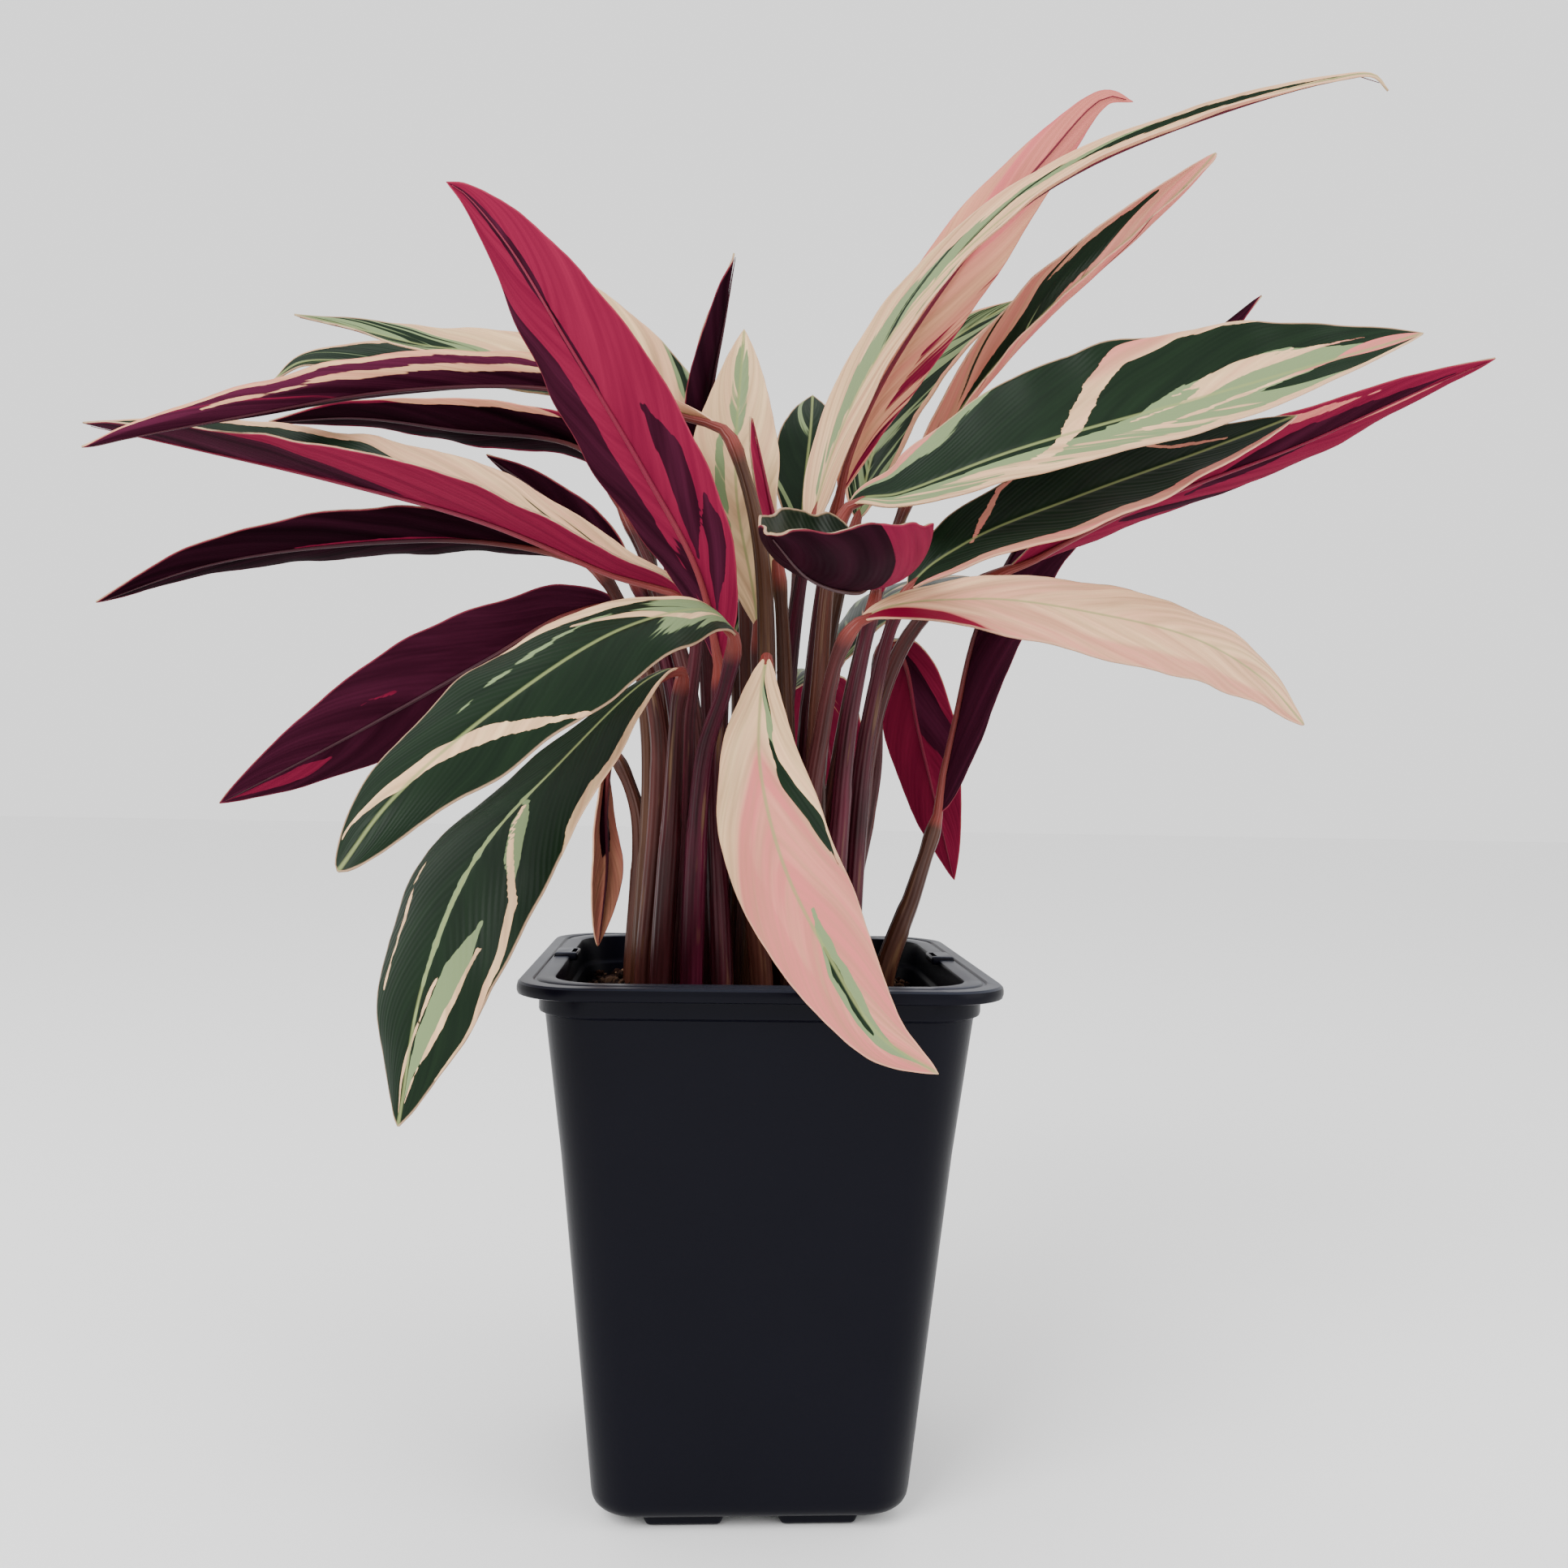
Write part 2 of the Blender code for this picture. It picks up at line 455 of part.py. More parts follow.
def section(leaf, centre, along, climb, u, sides):
    """One ring of the leaf: round on the stem, widening into the two faces of the blade."""
    neck_side, tip_side = (np.array(s, float) for s in leaf["side"])
    beside = neck_side * (1 - u) + tip_side * u
    beside = unit(beside - along * np.dot(beside, along))
    face = np.cross(beside, along)
    radius = NECK_RADIUS + (stem_radius(leaf) - NECK_RADIUS) * (1 - climb ** 3) if u == 0 else NECK_RADIUS
    blend = min(u / 0.09, 1.0)
    blend = blend * blend * (3 - 2 * blend)
    half = sides // 2
    vs = np.linspace(-1, 1, half)
    thick = BLADE_THICKNESS / 2
    ring = []
    for side in (1, -1):
        for k, v in enumerate(vs if side > 0 else vs[::-1]):
            across, lift = blade_offset(leaf, u, v)
            ahead, back = blade_offset(leaf, u, min(v + 0.01, 1)), blade_offset(leaf, u, max(v - 0.01, -1))
            run = np.array([ahead[0] - back[0], ahead[1] - back[1]])
            run = run / np.linalg.norm(run)
            flat = (across - run[1] * thick * side, lift + run[0] * thick * side)
            angle = math.pi * (1 - (k + 0.5) / half) * side if side > 0 else -math.pi * (k + 0.5) / half
            round_ = (radius * math.cos(angle), radius * math.sin(angle))
            x = round_[0] * (1 - blend) + flat[0] * blend
            y = round_[1] * (1 - blend) + flat[1] * blend
            ring.append(centre + beside * x + face * y)
    return ring


def make_leaf(leaf, group, mat):
    """Lofts the rings of a leaf into one closed body; both faces of the blade are split alike."""
    rolled = max(abs(leaf["cup"][0]), abs(leaf["cup"][1])) > 0.75
    sides = 10 if rolled else 6
    half = sides // 2
    bm = bmesh.new()
    rings = []
    for place in stations(leaf, STEM_STATIONS, BLADE_STATIONS):
        rings.append([bm.verts.new(Vector(p) * MM) for p in section(leaf, *place, sides)])
    for low, high in zip(rings, rings[1:]):
        for k in range(sides):
            n = (k + 1) % sides
            upper = k < half
            a, b, c, d = low[k], low[n], high[n], high[k]
            if upper:
                bm.faces.new((a, b, c))
                bm.faces.new((a, c, d))
            else:
                bm.faces.new((a, b, d))
                bm.faces.new((b, c, d))
    bm.faces.new(rings[0])
    bm.faces.new(rings[-1])
    return new_object(leaf["name"], bm, group, mat)


def leaf_colour(leaf):
    for word, colour in (("magenta", (0.33, 0.03, 0.09)), ("burgundy", (0.06, 0.01, 0.03)),
                         ("purple", (0.09, 0.02, 0.05)), ("pink", (0.55, 0.27, 0.28)),
                         ("peach", (0.62, 0.38, 0.30)), ("cream", (0.70, 0.62, 0.48)),
                         ("furled", (0.08, 0.02, 0.04))):
        if word in leaf["name"]:
            return colour
    return (0.03, 0.07, 0.03)


def build():
    clean_scene()
    group, cutters = collection("stromanthe"), collection("stromanthe_cutters")
    make_pot(group, cutters, material("pot_plastic", (0.010, 0.010, 0.014), 0.4))
    make_soil(group, cutters, material("soil", (0.022, 0.010, 0.008), 0.95))
    for leaf in LEAVES:
        make_leaf(leaf, group, material(leaf["name"], leaf_colour(leaf), 0.45))


build()
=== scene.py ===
import math

import bpy
import numpy as np
from mathutils import Matrix, Vector, noise


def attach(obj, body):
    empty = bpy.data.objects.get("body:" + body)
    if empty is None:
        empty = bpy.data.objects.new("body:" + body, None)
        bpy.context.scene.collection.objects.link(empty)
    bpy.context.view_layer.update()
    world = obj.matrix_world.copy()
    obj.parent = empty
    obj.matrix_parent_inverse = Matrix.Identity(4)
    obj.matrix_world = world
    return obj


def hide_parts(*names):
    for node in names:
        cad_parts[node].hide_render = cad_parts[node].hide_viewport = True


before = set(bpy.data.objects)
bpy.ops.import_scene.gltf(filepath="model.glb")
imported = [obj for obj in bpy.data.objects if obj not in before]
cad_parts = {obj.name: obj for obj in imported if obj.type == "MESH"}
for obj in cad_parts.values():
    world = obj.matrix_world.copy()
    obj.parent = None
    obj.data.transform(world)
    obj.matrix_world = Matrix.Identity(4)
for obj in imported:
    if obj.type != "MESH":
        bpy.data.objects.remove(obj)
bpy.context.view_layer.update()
bpy.ops.object.select_all(action="DESELECT")
bpy.context.view_layer.objects.active = None


# Camera: at about the height of the lower leaves, half a metre in front and slightly left of the
# pot, turned a little to the right, which is how the plant was pictured.
camera_data = bpy.data.cameras.new("camera")
camera_data.sensor_fit = "HORIZONTAL"
camera_data.sensor_width = 36.0
camera_data.lens = 32.61
camera_data.clip_start = 0.01
camera = bpy.data.objects.new("camera", camera_data)
bpy.context.scene.collection.objects.link(camera)
eye = Vector((-0.0193, -0.4927, 0.2363))
pitch, yaw, roll = math.radians(0.264), math.radians(3.252), math.radians(1.085)
ahead = Vector((math.sin(yaw) * math.cos(pitch), math.cos(yaw) * math.cos(pitch), -math.sin(pitch)))
level = Vector((math.cos(yaw), -math.sin(yaw), 0.0))
above = level.cross(ahead)
right = level * math.cos(roll) + above * math.sin(roll)
upward = above * math.cos(roll) - level * math.sin(roll)
camera.matrix_world = Matrix.Translation(eye) @ Matrix((right, upward, -ahead)).transposed().to_4x4()
bpy.context.scene.camera = camera


# Studio: a plain pale floor under a bright even sky, a broad soft light from the front left and
# above, and a weaker one from the right.
world = bpy.data.worlds.new("studio")
world.use_nodes = True
sky = world.node_tree.nodes["Background"]
sky.inputs["Color"].default_value = (1.0, 1.0, 1.0, 1.0)
sky.inputs["Strength"].default_value = 1.5
bpy.context.scene.world = world
bpy.ops.mesh.primitive_grid_add(x_subdivisions=8, y_subdivisions=8, size=12.0, location=(0, 0, -0.0005))
floor = bpy.context.object
floor.name = "floor"
floor_paint = bpy.data.materials.new("pale_floor")
floor_paint.use_nodes = True
floor_shader = floor_paint.node_tree.nodes["Principled BSDF"]
floor_shader.inputs["Base Color"].default_value = (0.92, 0.92, 0.92, 1)
floor_shader.inputs["Roughness"].default_value = 0.7
floor.data.materials.append(floor_paint)
floor.select_set(False)
plant_middle = Vector((0, 0, 0.26))
for lamp_name, place, size, watts in (("key_light", (-0.9, -1.1, 1.3), 1.0, 34.0),
                                      ("fill_light", (1.3, -0.9, 0.8), 1.2, 14.0)):
    lamp_data = bpy.data.lights.new(lamp_name, "AREA")
    lamp_data.shape = "SQUARE"
    lamp_data.size = size
    lamp_data.energy = watts
    lamp = bpy.data.objects.new(lamp_name, lamp_data)
    bpy.context.scene.collection.objects.link(lamp)
    lamp.location = place
    lamp.rotation_euler = (plant_middle - Vector(place)).to_track_quat("-Z", "Y").to_euler()


# Pot: a deep square nursery pot, injection moulded in thin near-black polypropylene with a satin
# skin. A rounded square is drawn, pulled up through the base edge, wall, collar and rolled rim, and
# then down the inside; pads and label clips are moulded with it. Level parts get a painted highlight.
pot_rings = [  # (width, height) in millimetres
    (93.7, 4.0), (96.6, 4.2), (98.4, 4.8), (100.0, 5.8), (101.2, 7.2), (102.0, 9.5), (107.9, 40.0),
    (115.5, 79.0), (123.2, 118.0), (133.6, 161.8), (133.8, 162.7), (135.4, 163.1), (137.0, 163.6),
    (137.4, 164.4), (137.4, 168.6), (138.0, 169.1), (147.4, 169.2), (149.4, 169.6), (150.0, 170.6),
    (150.0, 171.8), (149.5, 172.8), (148.2, 173.4), (141.4, 173.5), (140.8, 173.3), (140.2, 172.9),
    (138.6, 172.9), (138.0, 173.3), (137.4, 173.5), (129.4, 173.5), (128.2, 173.2), (127.6, 172.4),
    (127.2, 165.0), (126.8, 164.2), (125.4, 163.4), (124.8, 162.6), (111.0, 85.0), (98.2, 6.4)]
corner_radius = 0.0125
pad_size, pad_x, pad_y, pad_rounding = (0.0276, 0.0376, 0.0052), 0.0213, 0.02745, 0.0012
pad_foot_x, pad_taper = 0.0209, (0.84, 0.965, 1.0)
clip_size, clip_x, clip_y, clip_z, clip_rounding = (0.008, 0.015, 0.0028), 0.0654, 0.006, 0.1733, 0.0009
slot_size, slot_x = (0.0016, 0.010, 0.008), 0.0629
drain_radius, drain_places = 0.005, ((0, 0), (-0.039, 0), (0.039, 0), (0, -0.0429), (0, 0.0429))


def pick(obj):
    bpy.ops.object.select_all(action="DESELECT")
    obj.select_set(True)
    bpy.context.view_layer.objects.active = obj


def edit(obj):
    pick(obj)
    bpy.ops.object.mode_set(mode="EDIT")


def done():
    bpy.ops.object.mode_set(mode="OBJECT")
    bpy.context.object.select_set(False)


def point_outwards():
    bpy.ops.mesh.select_all(action="SELECT")
    bpy.ops.mesh.normals_make_consistent(inside=False)


def apply_modifiers(obj):
    pick(obj)
    for modifier in list(obj.modifiers):
        bpy.ops.object.modifier_apply(modifier=modifier.name)
    obj.select_set(False)


def settle(obj):
    """Leaves the object at the origin, unturned and unscaled, with its place in its mesh."""
    pick(obj)
    bpy.ops.object.transform_apply(location=True, rotation=True, scale=True)
    obj.select_set(False)


def block(place, size):
    bpy.ops.mesh.primitive_cube_add(size=1.0, location=place)
    cube = bpy.context.object
    cube.scale = size
    settle(cube)
    return cube


def soften(obj, width):
    rounding = obj.modifiers.new("rounding", "BEVEL")
    rounding.width = width
    rounding.segments = 3
    apply_modifiers(obj)


def combine(obj, operation, tool):
    """Adds the tool's shape to the object or cuts it out, and throws the tool away."""
    change = obj.modifiers.new("change", "BOOLEAN")
    change.operation = operation
    change.solver = "MANIFOLD"
    change.object = tool
    apply_modifiers(obj)
    bpy.data.objects.remove(tool)


class Nodes:
    """A material's or a group's nodes, and short ways to add one and hand back what it puts out."""

    def __init__(self, tree):
        self.tree = tree

    def feed(self, node, feeds):
        for socket, feed in feeds.items():
            if isinstance(feed, bpy.types.NodeSocket):
                self.tree.links.new(feed, node.inputs[socket])
            else:
                node.inputs[socket].default_value = feed

    def add(self, kind, out, feeds=None, **settings):
        node = self.tree.nodes.new("ShaderNode" + kind)
        for key, setting in settings.items():
            setattr(node, key, setting)
        self.feed(node, feeds or {})
        return node.outputs[out]

    def ramp(self, amount, low, high, start=0.0, end=1.0):
        """Goes from start to end as the amount goes from low to high."""
        return self.add("MapRange", 0, {0: amount, 1: low, 2: high, 3: start, 4: end})

    def mix(self, amount, first, second):
        return self.add("Mix", 2, {0: amount, 6: first, 7: second}, data_type="RGBA")

    def bump(self, strength, depth, height):
        return self.add("Bump", "Normal", {"Strength": strength, "Distance": depth, "Height": height})


def new_material(name):
    material = bpy.data.materials.new(name)
    material.use_nodes = True
    return material, material.node_tree.nodes["Principled BSDF"]


bpy.ops.mesh.primitive_plane_add(size=pot_rings[0][0] / 1000)
pot = bpy.context.object
pot.name = "nursery_pot"
edit(pot)
bpy.ops.mesh.select_all(action="SELECT")
bpy.ops.mesh.bevel(offset=corner_radius, offset_type="OFFSET", segments=9, affect="VERTICES")
bpy.ops.transform.translate(value=(0, 0, pot_rings[0][1] / 1000))
for (width, height), (next_width, next_height) in zip(pot_rings, pot_rings[1:]):
    bpy.ops.mesh.extrude_region_move(
        TRANSFORM_OT_translate={"value": (0, 0, (next_height - height) / 1000)})
    grow = next_width / width
    bpy.ops.transform.resize(value=(grow, grow, 1.0), center_override=(0, 0, next_height / 1000))
point_outwards()
done()

for side in (-1, 1):
    for end in (-1, 1):
        pad = block((side * pad_x, end * pad_y, pad_size[2] / 2), pad_size)
        edit(pad)
        bpy.ops.mesh.select_all(action="DESELECT")
        done()
        for face in pad.data.polygons:
            face.select = face.normal.z < -0.5
        edit(pad)
        bpy.ops.transform.resize(value=pad_taper,
                                 center_override=(side * pad_foot_x, end * pad_y, 0.0))
        done()
        soften(pad, pad_rounding)
        combine(pot, "UNION", pad)
for side in (-1, 1):
    clip = block((side * clip_x, clip_y, clip_z), clip_size)
    soften(clip, clip_rounding)
    label_slot = block((side * slot_x, clip_y, clip_z), slot_size)
    combine(pot, "UNION", clip)
    combine(pot, "DIFFERENCE", label_slot)
for x, y in drain_places:
    bpy.ops.mesh.primitive_cylinder_add(vertices=40, radius=drain_radius, depth=0.008,
                                        location=(x, y, 0.005))
    drain = bpy.context.object
    settle(drain)
    combine(pot, "DIFFERENCE", drain)
pick(pot)
bpy.ops.object.shade_smooth_by_angle(angle=math.radians(32))
pot.select_set(False)

pot_plastic, shader = new_material("pot_plastic")
paint = Nodes(pot_plastic.node_tree)
place = paint.add("TexCoord", "Object")
dust = paint.add("TexNoise", "Fac", {"Vector": place, "Scale": 14.0, "Detail": 5.0, "Roughness": 0.6})
grain = paint.add("TexNoise", "Fac", {"Vector": place, "Scale": 900.0, "Detail": 2.0})
# Painted highlight: faces that point up, such as the rim top, are painted a lighter blue grey.
highlight_facing_up = paint.add("SeparateXYZ", "Z", {0: paint.add("NewGeometry", "Normal")})
black = paint.mix(dust, (0.0012, 0.0012, 0.0034, 1), (0.0026, 0.0026, 0.0060, 1))
paint.feed(shader, {
    "Base Color": paint.mix(paint.ramp(highlight_facing_up, 0.5, 0.95), black, (0.030, 0.034, 0.048, 1)),
    "Roughness": paint.ramp(dust, 0.0, 1.0, 0.30, 0.42),
    "Specular IOR Level": 0.08,
    "Normal": paint.bump(0.06, 0.0004, grain)})
pot.data.materials.clear()
pot.data.materials.append(pot_plastic)
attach(pot, "root")
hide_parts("pot")


# Potting soil: damp dark peat pressed into the pot to about a finger's width under the rim, mounded
# a little round the stems and strewn with coarse crumbs, bark bits and a few pale grains.
soil_half, soil_top, soil_depth = 62.0, 160.0, 0.012
corner_start, corner_round, edge_drop, edge_start = 0.72, 0.62, 3.0, 0.93
crumb_count, crumb_sizes, crumb_tones = 1900, (0.5, 0.8, 1.2, 1.9), (0.0, 0.35, 1.0)


def soil_height(x, y):
    """Top of the soil in millimetres, at a place in millimetres."""
    edge = max(abs(x), abs(y)) / soil_half
    mound = 3.0 * (1 - edge ** 2) - 2.0 * edge ** 8
    lumps = 0.7 * math.sin(x * 0.31 + 1.0) * math.sin(y * 0.27) + 0.5 * math.sin(x * 0.13 - y * 0.19)
    return soil_top + mound + lumps


def note(piece, name, values):
    """Stores a value or a vector at each of a piece's points, for its material to read."""
    values = np.asarray(values, float)
    kind, field = ("FLOAT_VECTOR", "vector") if values.ndim > 1 else ("FLOAT", "value")
    piece.data.attributes.new(name, kind, "POINT").data.foreach_set(field, values.ravel())


bpy.ops.mesh.primitive_grid_add(x_subdivisions=110, y_subdivisions=110, size=2.0)
soil = bpy.context.object
soil.name = "potting_soil"
for vert in soil.data.vertices:
    x, y = vert.co.x, vert.co.y
    reach = max(abs(x), abs(y))
    over = max(min(abs(x), abs(y)) / max(reach, 1e-6) - corner_start, 0.0)
    pull = 1 - over ** 2 / (1 - corner_start) * corner_round * reach
    x, y = x * soil_half * pull, y * soil_half * pull
    rough = noise.fractal(Vector((x / 5.0, y / 5.0, 3.0)), 0.9, 2.2, 4)
    sink = edge_drop * max(reach - edge_start, 0) / (1 - edge_start)
    vert.co = Vector((x, y, soil_height(x, y) + 1.3 * rough - 0.4 - sink)) / 1000
edit(soil)
bpy.ops.mesh.select_all(action="SELECT")
bpy.ops.mesh.extrude_region_move(TRANSFORM_OT_translate={"value": (0, 0, -soil_depth)})
point_outwards()
done()
bpy.ops.mesh.primitive_ico_sphere_add(subdivisions=1, radius=1.0)
crumb = bpy.context.object
crumb_points = np.array([v.co[:] for v in crumb.data.vertices])
crumb_faces = np.array([f.vertices[:] for f in crumb.data.polygons])
bpy.data.objects.remove(crumb)
dice = np.random.default_rng(5)
strewn_points, strewn_faces, strewn_tone = [], [], []
for number in range(crumb_count):
    x, y = dice.uniform(-60, 60, 2)
    size = dice.choice(crumb_sizes, p=(0.3, 0.35, 0.25, 0.1)) * dice.uniform(0.8, 1.2)
    turn = Matrix.Rotation(dice.uniform(0, 6.28), 3, Vector(dice.normal(size=3)).normalized())
    shape = crumb_points * dice.uniform(0.55, 1.25, 3) * dice.uniform(0.8, 1.2, (len(crumb_points), 1))
    shape = shape @ np.array(turn).T * size + (x, y, soil_height(x, y) + dice.uniform(-0.3, 0.9))
    strewn_faces.append(crumb_faces + len(crumb_points) * number)
    strewn_points.append(shape / 1000)
    strewn_tone.append(np.full(len(crumb_points), dice.choice(crumb_tones, p=(0.68, 0.25, 0.07))))
crumbs_mesh = bpy.data.meshes.new("crumbs")
crumbs_mesh.from_pydata(np.vstack(strewn_points).tolist(), [], np.vstack(strewn_faces).tolist())
crumbs = bpy.data.objects.new("crumbs", crumbs_mesh)
bpy.context.scene.collection.objects.link(crumbs)
note(crumbs, "tone", np.concatenate(strewn_tone))
note(soil, "tone", np.zeros(len(soil.data.vertices)))
pick(soil)
crumbs.select_set(True)
bpy.ops.object.join()
soil.select_set(False)

damp_peat, shader = new_material("damp_peat")
paint = Nodes(damp_peat.node_tree)
mottle = paint.add("TexNoise", "Fac", {"Vector": paint.add("TexCoord", "Object"),
                                       "Scale": 420.0, "Detail": 6.0})
brown = paint.mix(paint.ramp(mottle, 0.35, 0.72), (0.004, 0.0015, 0.001, 1), (0.030, 0.013, 0.009, 1))
paint.feed(shader, {
    "Base Color": paint.mix(paint.add("Attribute", "Fac", attribute_name="tone"), brown,
                            (0.16, 0.09, 0.055, 1)),
    "Roughness": 0.92,
    "Specular IOR Level": 0.1,
    "Normal": paint.bump(0.8, 0.0008, mottle)})
soil.data.materials.clear()
soil.data.materials.append(damp_peat)
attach(soil, "root")
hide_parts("soil")


# Leaves at the front: each grew from the clump as one rolled spike, so it is one piece from the sheath
# in the soil, up the stalk and its swollen joint, to a thin blade with a raised rib under it. The
# upper face is green flamed with cream and pink, the underside wine red to magenta.

# Measures are in millimetres. A leaf's stem and blade are places on its line, side the way across the
# blade at neck and tip, cup how far its edges curl up there, fold how far its halves do, peak where it
# is widest (0.45 along if not given), blunt lower for a blunter tip, and lean how much wider one half
# is. White, pale, blush and glow say how strongly cream, light green, pink and magenta show, and the
# patches where they differ: a stripe is (colour, strength, width, places along and across), a flame or
# a band at the margin is (colour, strength, half, first vein, last vein, from, to).
front_leaves = [
    dict(name="white_striped_leaf", slot="leaf_green", root=(-22, -27), width=35,
         stem=[(-19, -44, 243), (-13, -54, 264)],
         blade=[(-11, -62, 279), (-18, -72, 285), (-42, -96, 277), (-73, -126, 252), (-95, -146, 228),
                (-105, -152, 212)],
         side=((-0.45, 0.65, 0.6), (-0.85, 0.35, 0.4)), cup=(-0.3, -0.4), peak=0.5, blunt=0.6,
         white=0, pale=0.15, blush=0.1, patchy=0.2,
         patches=[("pale", 0.7, 0, -0.3, 0.2, 0, 0.7),
                  ("white", 1.1, 6, [(0.5, 1), (0.35, 0.85), (0.2, 0.85), (0.08, 0.8), (0, 0.4)]),
                  ("white", 1.1, 3.4, [(0.38, 0.6), (0.25, 0.2), (0.16, -0.3), (0.04, -0.2)]),
                  ("white", 1.2, 5, [(0.52, -1), (0.6, -0.69), (0.68, -0.25), (0.76, 0), (0.83, 0.12),
                                     (0.89, 0.38), (0.95, 0.8)]),
                  ("pale", 0.7, 2, [(0.3, 0.5), (0.5, 0.5), (0.68, 0.4)])]),
    dict(name="big_dark_leaf", slot="leaf_green", root=(-32, -24), width=52,
         stem=[(-29, -34, 229), (-28, -40, 256)],
         blade=[(-27, -46, 269), (-36, -56, 266), (-61, -78, 239), (-82, -94, 212), (-94, -104, 178),
                (-99, -108, 141)],
         side=((-0.6, 0.7, 0), (-0.85, 0.5, 0.1)), cup=(-0.3, -0.4), peak=0.58,
         white=-0.15, pale=-0.05, blush=0.1, patchy=0.15,
         patches=[("pale", 0.9, 2.2, [(0.3, 0), (0.6, 0), (0.98, 0)]),
                  ("white", 1, -1, -0.3, 0.2, 0.86, 1.3),
                  ("pale", 0.9, 6, [(0.43, -0.1), (0.5, -0.35), (0.6, -0.66)]),
                  ("white", 1.3, 2.2, [(0.44, -0.12), (0.48, -0.19), (0.54, -0.44), (0.61, -0.75),
                                       (0.7, -0.88), (0.82, -0.97), (0.92, -0.95)]),
                  ("pale", 1, 9, [(0.66, -0.5), (0.8, -0.38), (0.97, -0.1)]),
                  ("white", 1.2, 2, [(0.7, -0.6), (0.79, -0.56), (0.87, -0.44), (0.96, -0.2)]),
                  ("white", 1.1, 1.8, [(0.76, -0.2), (0.84, -0.1), (0.93, 0.15), (0.98, 0.2)]),
                  ("white", 1, 1.6, [(0.58, 0.85), (0.68, 0.75), (0.8, 0.8)])]),
    dict(name="pink_front_leaf", slot="leaf_pink", root=(1, -28), width=32,
         stem=[(-5, -42, 230), (-2, -56, 259)],
         blade=[(-1, -66, 272), (-3, -76, 259), (-3, -86, 238), (4, -92, 211), (17, -97, 186),
                (31, -99, 165),
                (48, -98, 154)],
         side=((-1, 0.1, 0), (-1, -0.1, 0)), cup=(-0.5, -0.3), peak=0.5,
         white=1.15, blush=1, pale=0.5, patchy=0.25,
         patches=[("blush", 0.1, 0, -0.4, 0.22, 0, 1.3),
                  ("white", 0.1, 3.4, [(0.03, 0), (0.15, -0.3), (0.25, -0.35)]),
                  ("white", -0.1, 4.5, [(0.22, -0.3), (0.32, -0.5), (0.4, -0.8), (0.52, -0.95)]),
                  ("pale", 0, 4.5, [(0.22, -0.3), (0.32, -0.5), (0.4, -0.8), (0.52, -0.95)]),
                  ("white", -0.1, 8, [(0.58, -0.15), (0.7, 0), (0.77, 0), (0.89, 0.15), (0.99, 0)]),
                  ("pale", 0.75, 0, 0.5, 1, 0, 1.3),
                  ("pale", 0, 3, [(0.66, 0), (0.75, 0.05), (0.84, 0.15)]),
                  ("blush", 1.2, 1, 0.25, 0.9, 0.5, 1.3)]),
    dict(name="cupped_front_leaf", slot="leaf_green", root=(24, -22), width=62,
         stem=[(28, -26, 252)],
         blade=[(36, -30, 297), (34, -50, 300), (24, -86, 291), (7, -130, 288), (-5, -168, 292)],
         side=((-1, 0.15, 0.15), (-0.95, 0.3, 0.1)), cup=(1.8, 1.4),
         white=-0.2, glow=0, pale=0.15, patchy=0.15,
         patches=[("glow", 1.1, 0, -0.4, 0.4, 0, 1.3)]),
    dict(name="cream_right_leaf", slot="leaf_cream", root=(13, -27), width=37,
         stem=[(18, -33, 247)],
         blade=[(29, -44, 286), (65, -46, 294), (109, -44, 290), (141, -40, 283), (165, -34, 271),
                (180, -30, 257)],
         side=((0.15, -0.7, -0.7), (-0.5, -0.55, -0.65)), cup=(-0.3, -0.3), peak=0.52, blunt=0.75,
         white=1.3, blush=0.25, patchy=0.25,
         patches=[("blush", 0.75, 1, -0.3, 1, 0.6, 1.3), ("blush", 0.6, 0, 0.1, 0.3, 0, 1),
                  ("blush", 2.6, 12, [(-0.06, 0.4), (0.05, 0.5), (0.14, 0.85), (0.26, 1)])]),
]
hole_depth, neck_radius, foot_radius, blade_thickness = 12.0, 1.7, 3.5, 0.7
blade_columns, blade_rows, stalk_rings, rib_rings, stalk_sides = 48, 100, 44, 36, 12


def smooth(share):
    share = np.clip(share, 0, 1)
    return share * share * (3 - 2 * share)


def spine(leaf, steps=24):
    """A smooth line up the stalk and along the blade, and the number of its point at the neck."""
    x, y = leaf["root"]
    ground = soil_height(x, y)
    points = [(x, y, ground - hole_depth), (x, y, ground + 3)] + leaf["stem"] + leaf["blade"]
    points = np.array(points, float)
    knots = np.concatenate([[0], np.cumsum(np.linalg.norm(np.diff(points, axis=0), axis=1) ** 0.5)])
    slopes = np.gradient(points, knots, axis=0)
    for i in range(1, len(points) - 1):
        before = (points[i] - points[i - 1]) / (knots[i] - knots[i - 1])
        after = (points[i + 1] - points[i]) / (knots[i + 1] - knots[i])
        share = (knots[i] - knots[i - 1]) / (knots[i + 1] - knots[i - 1])
        slopes[i] = before * (1 - share) + after * share
    for i in (0, 1):
        slopes[i] = (0, 0, np.linalg.norm(slopes[i]))
    line = []
    for i in range(len(points) - 1):
        span = knots[i + 1] - knots[i]
        for t in np.arange(steps) / steps:
            line.append((2 * t ** 3 - 3 * t ** 2 + 1) * points[i]
                        + (t ** 3 - 2 * t ** 2 + t) * span * slopes[i]
                        + (3 * t ** 2 - 2 * t ** 3) * points[i + 1]
                        + (t ** 3 - t ** 2) * span * slopes[i + 1])
    line.append(points[-1])
    return np.array(line), (2 + len(leaf["stem"])) * steps


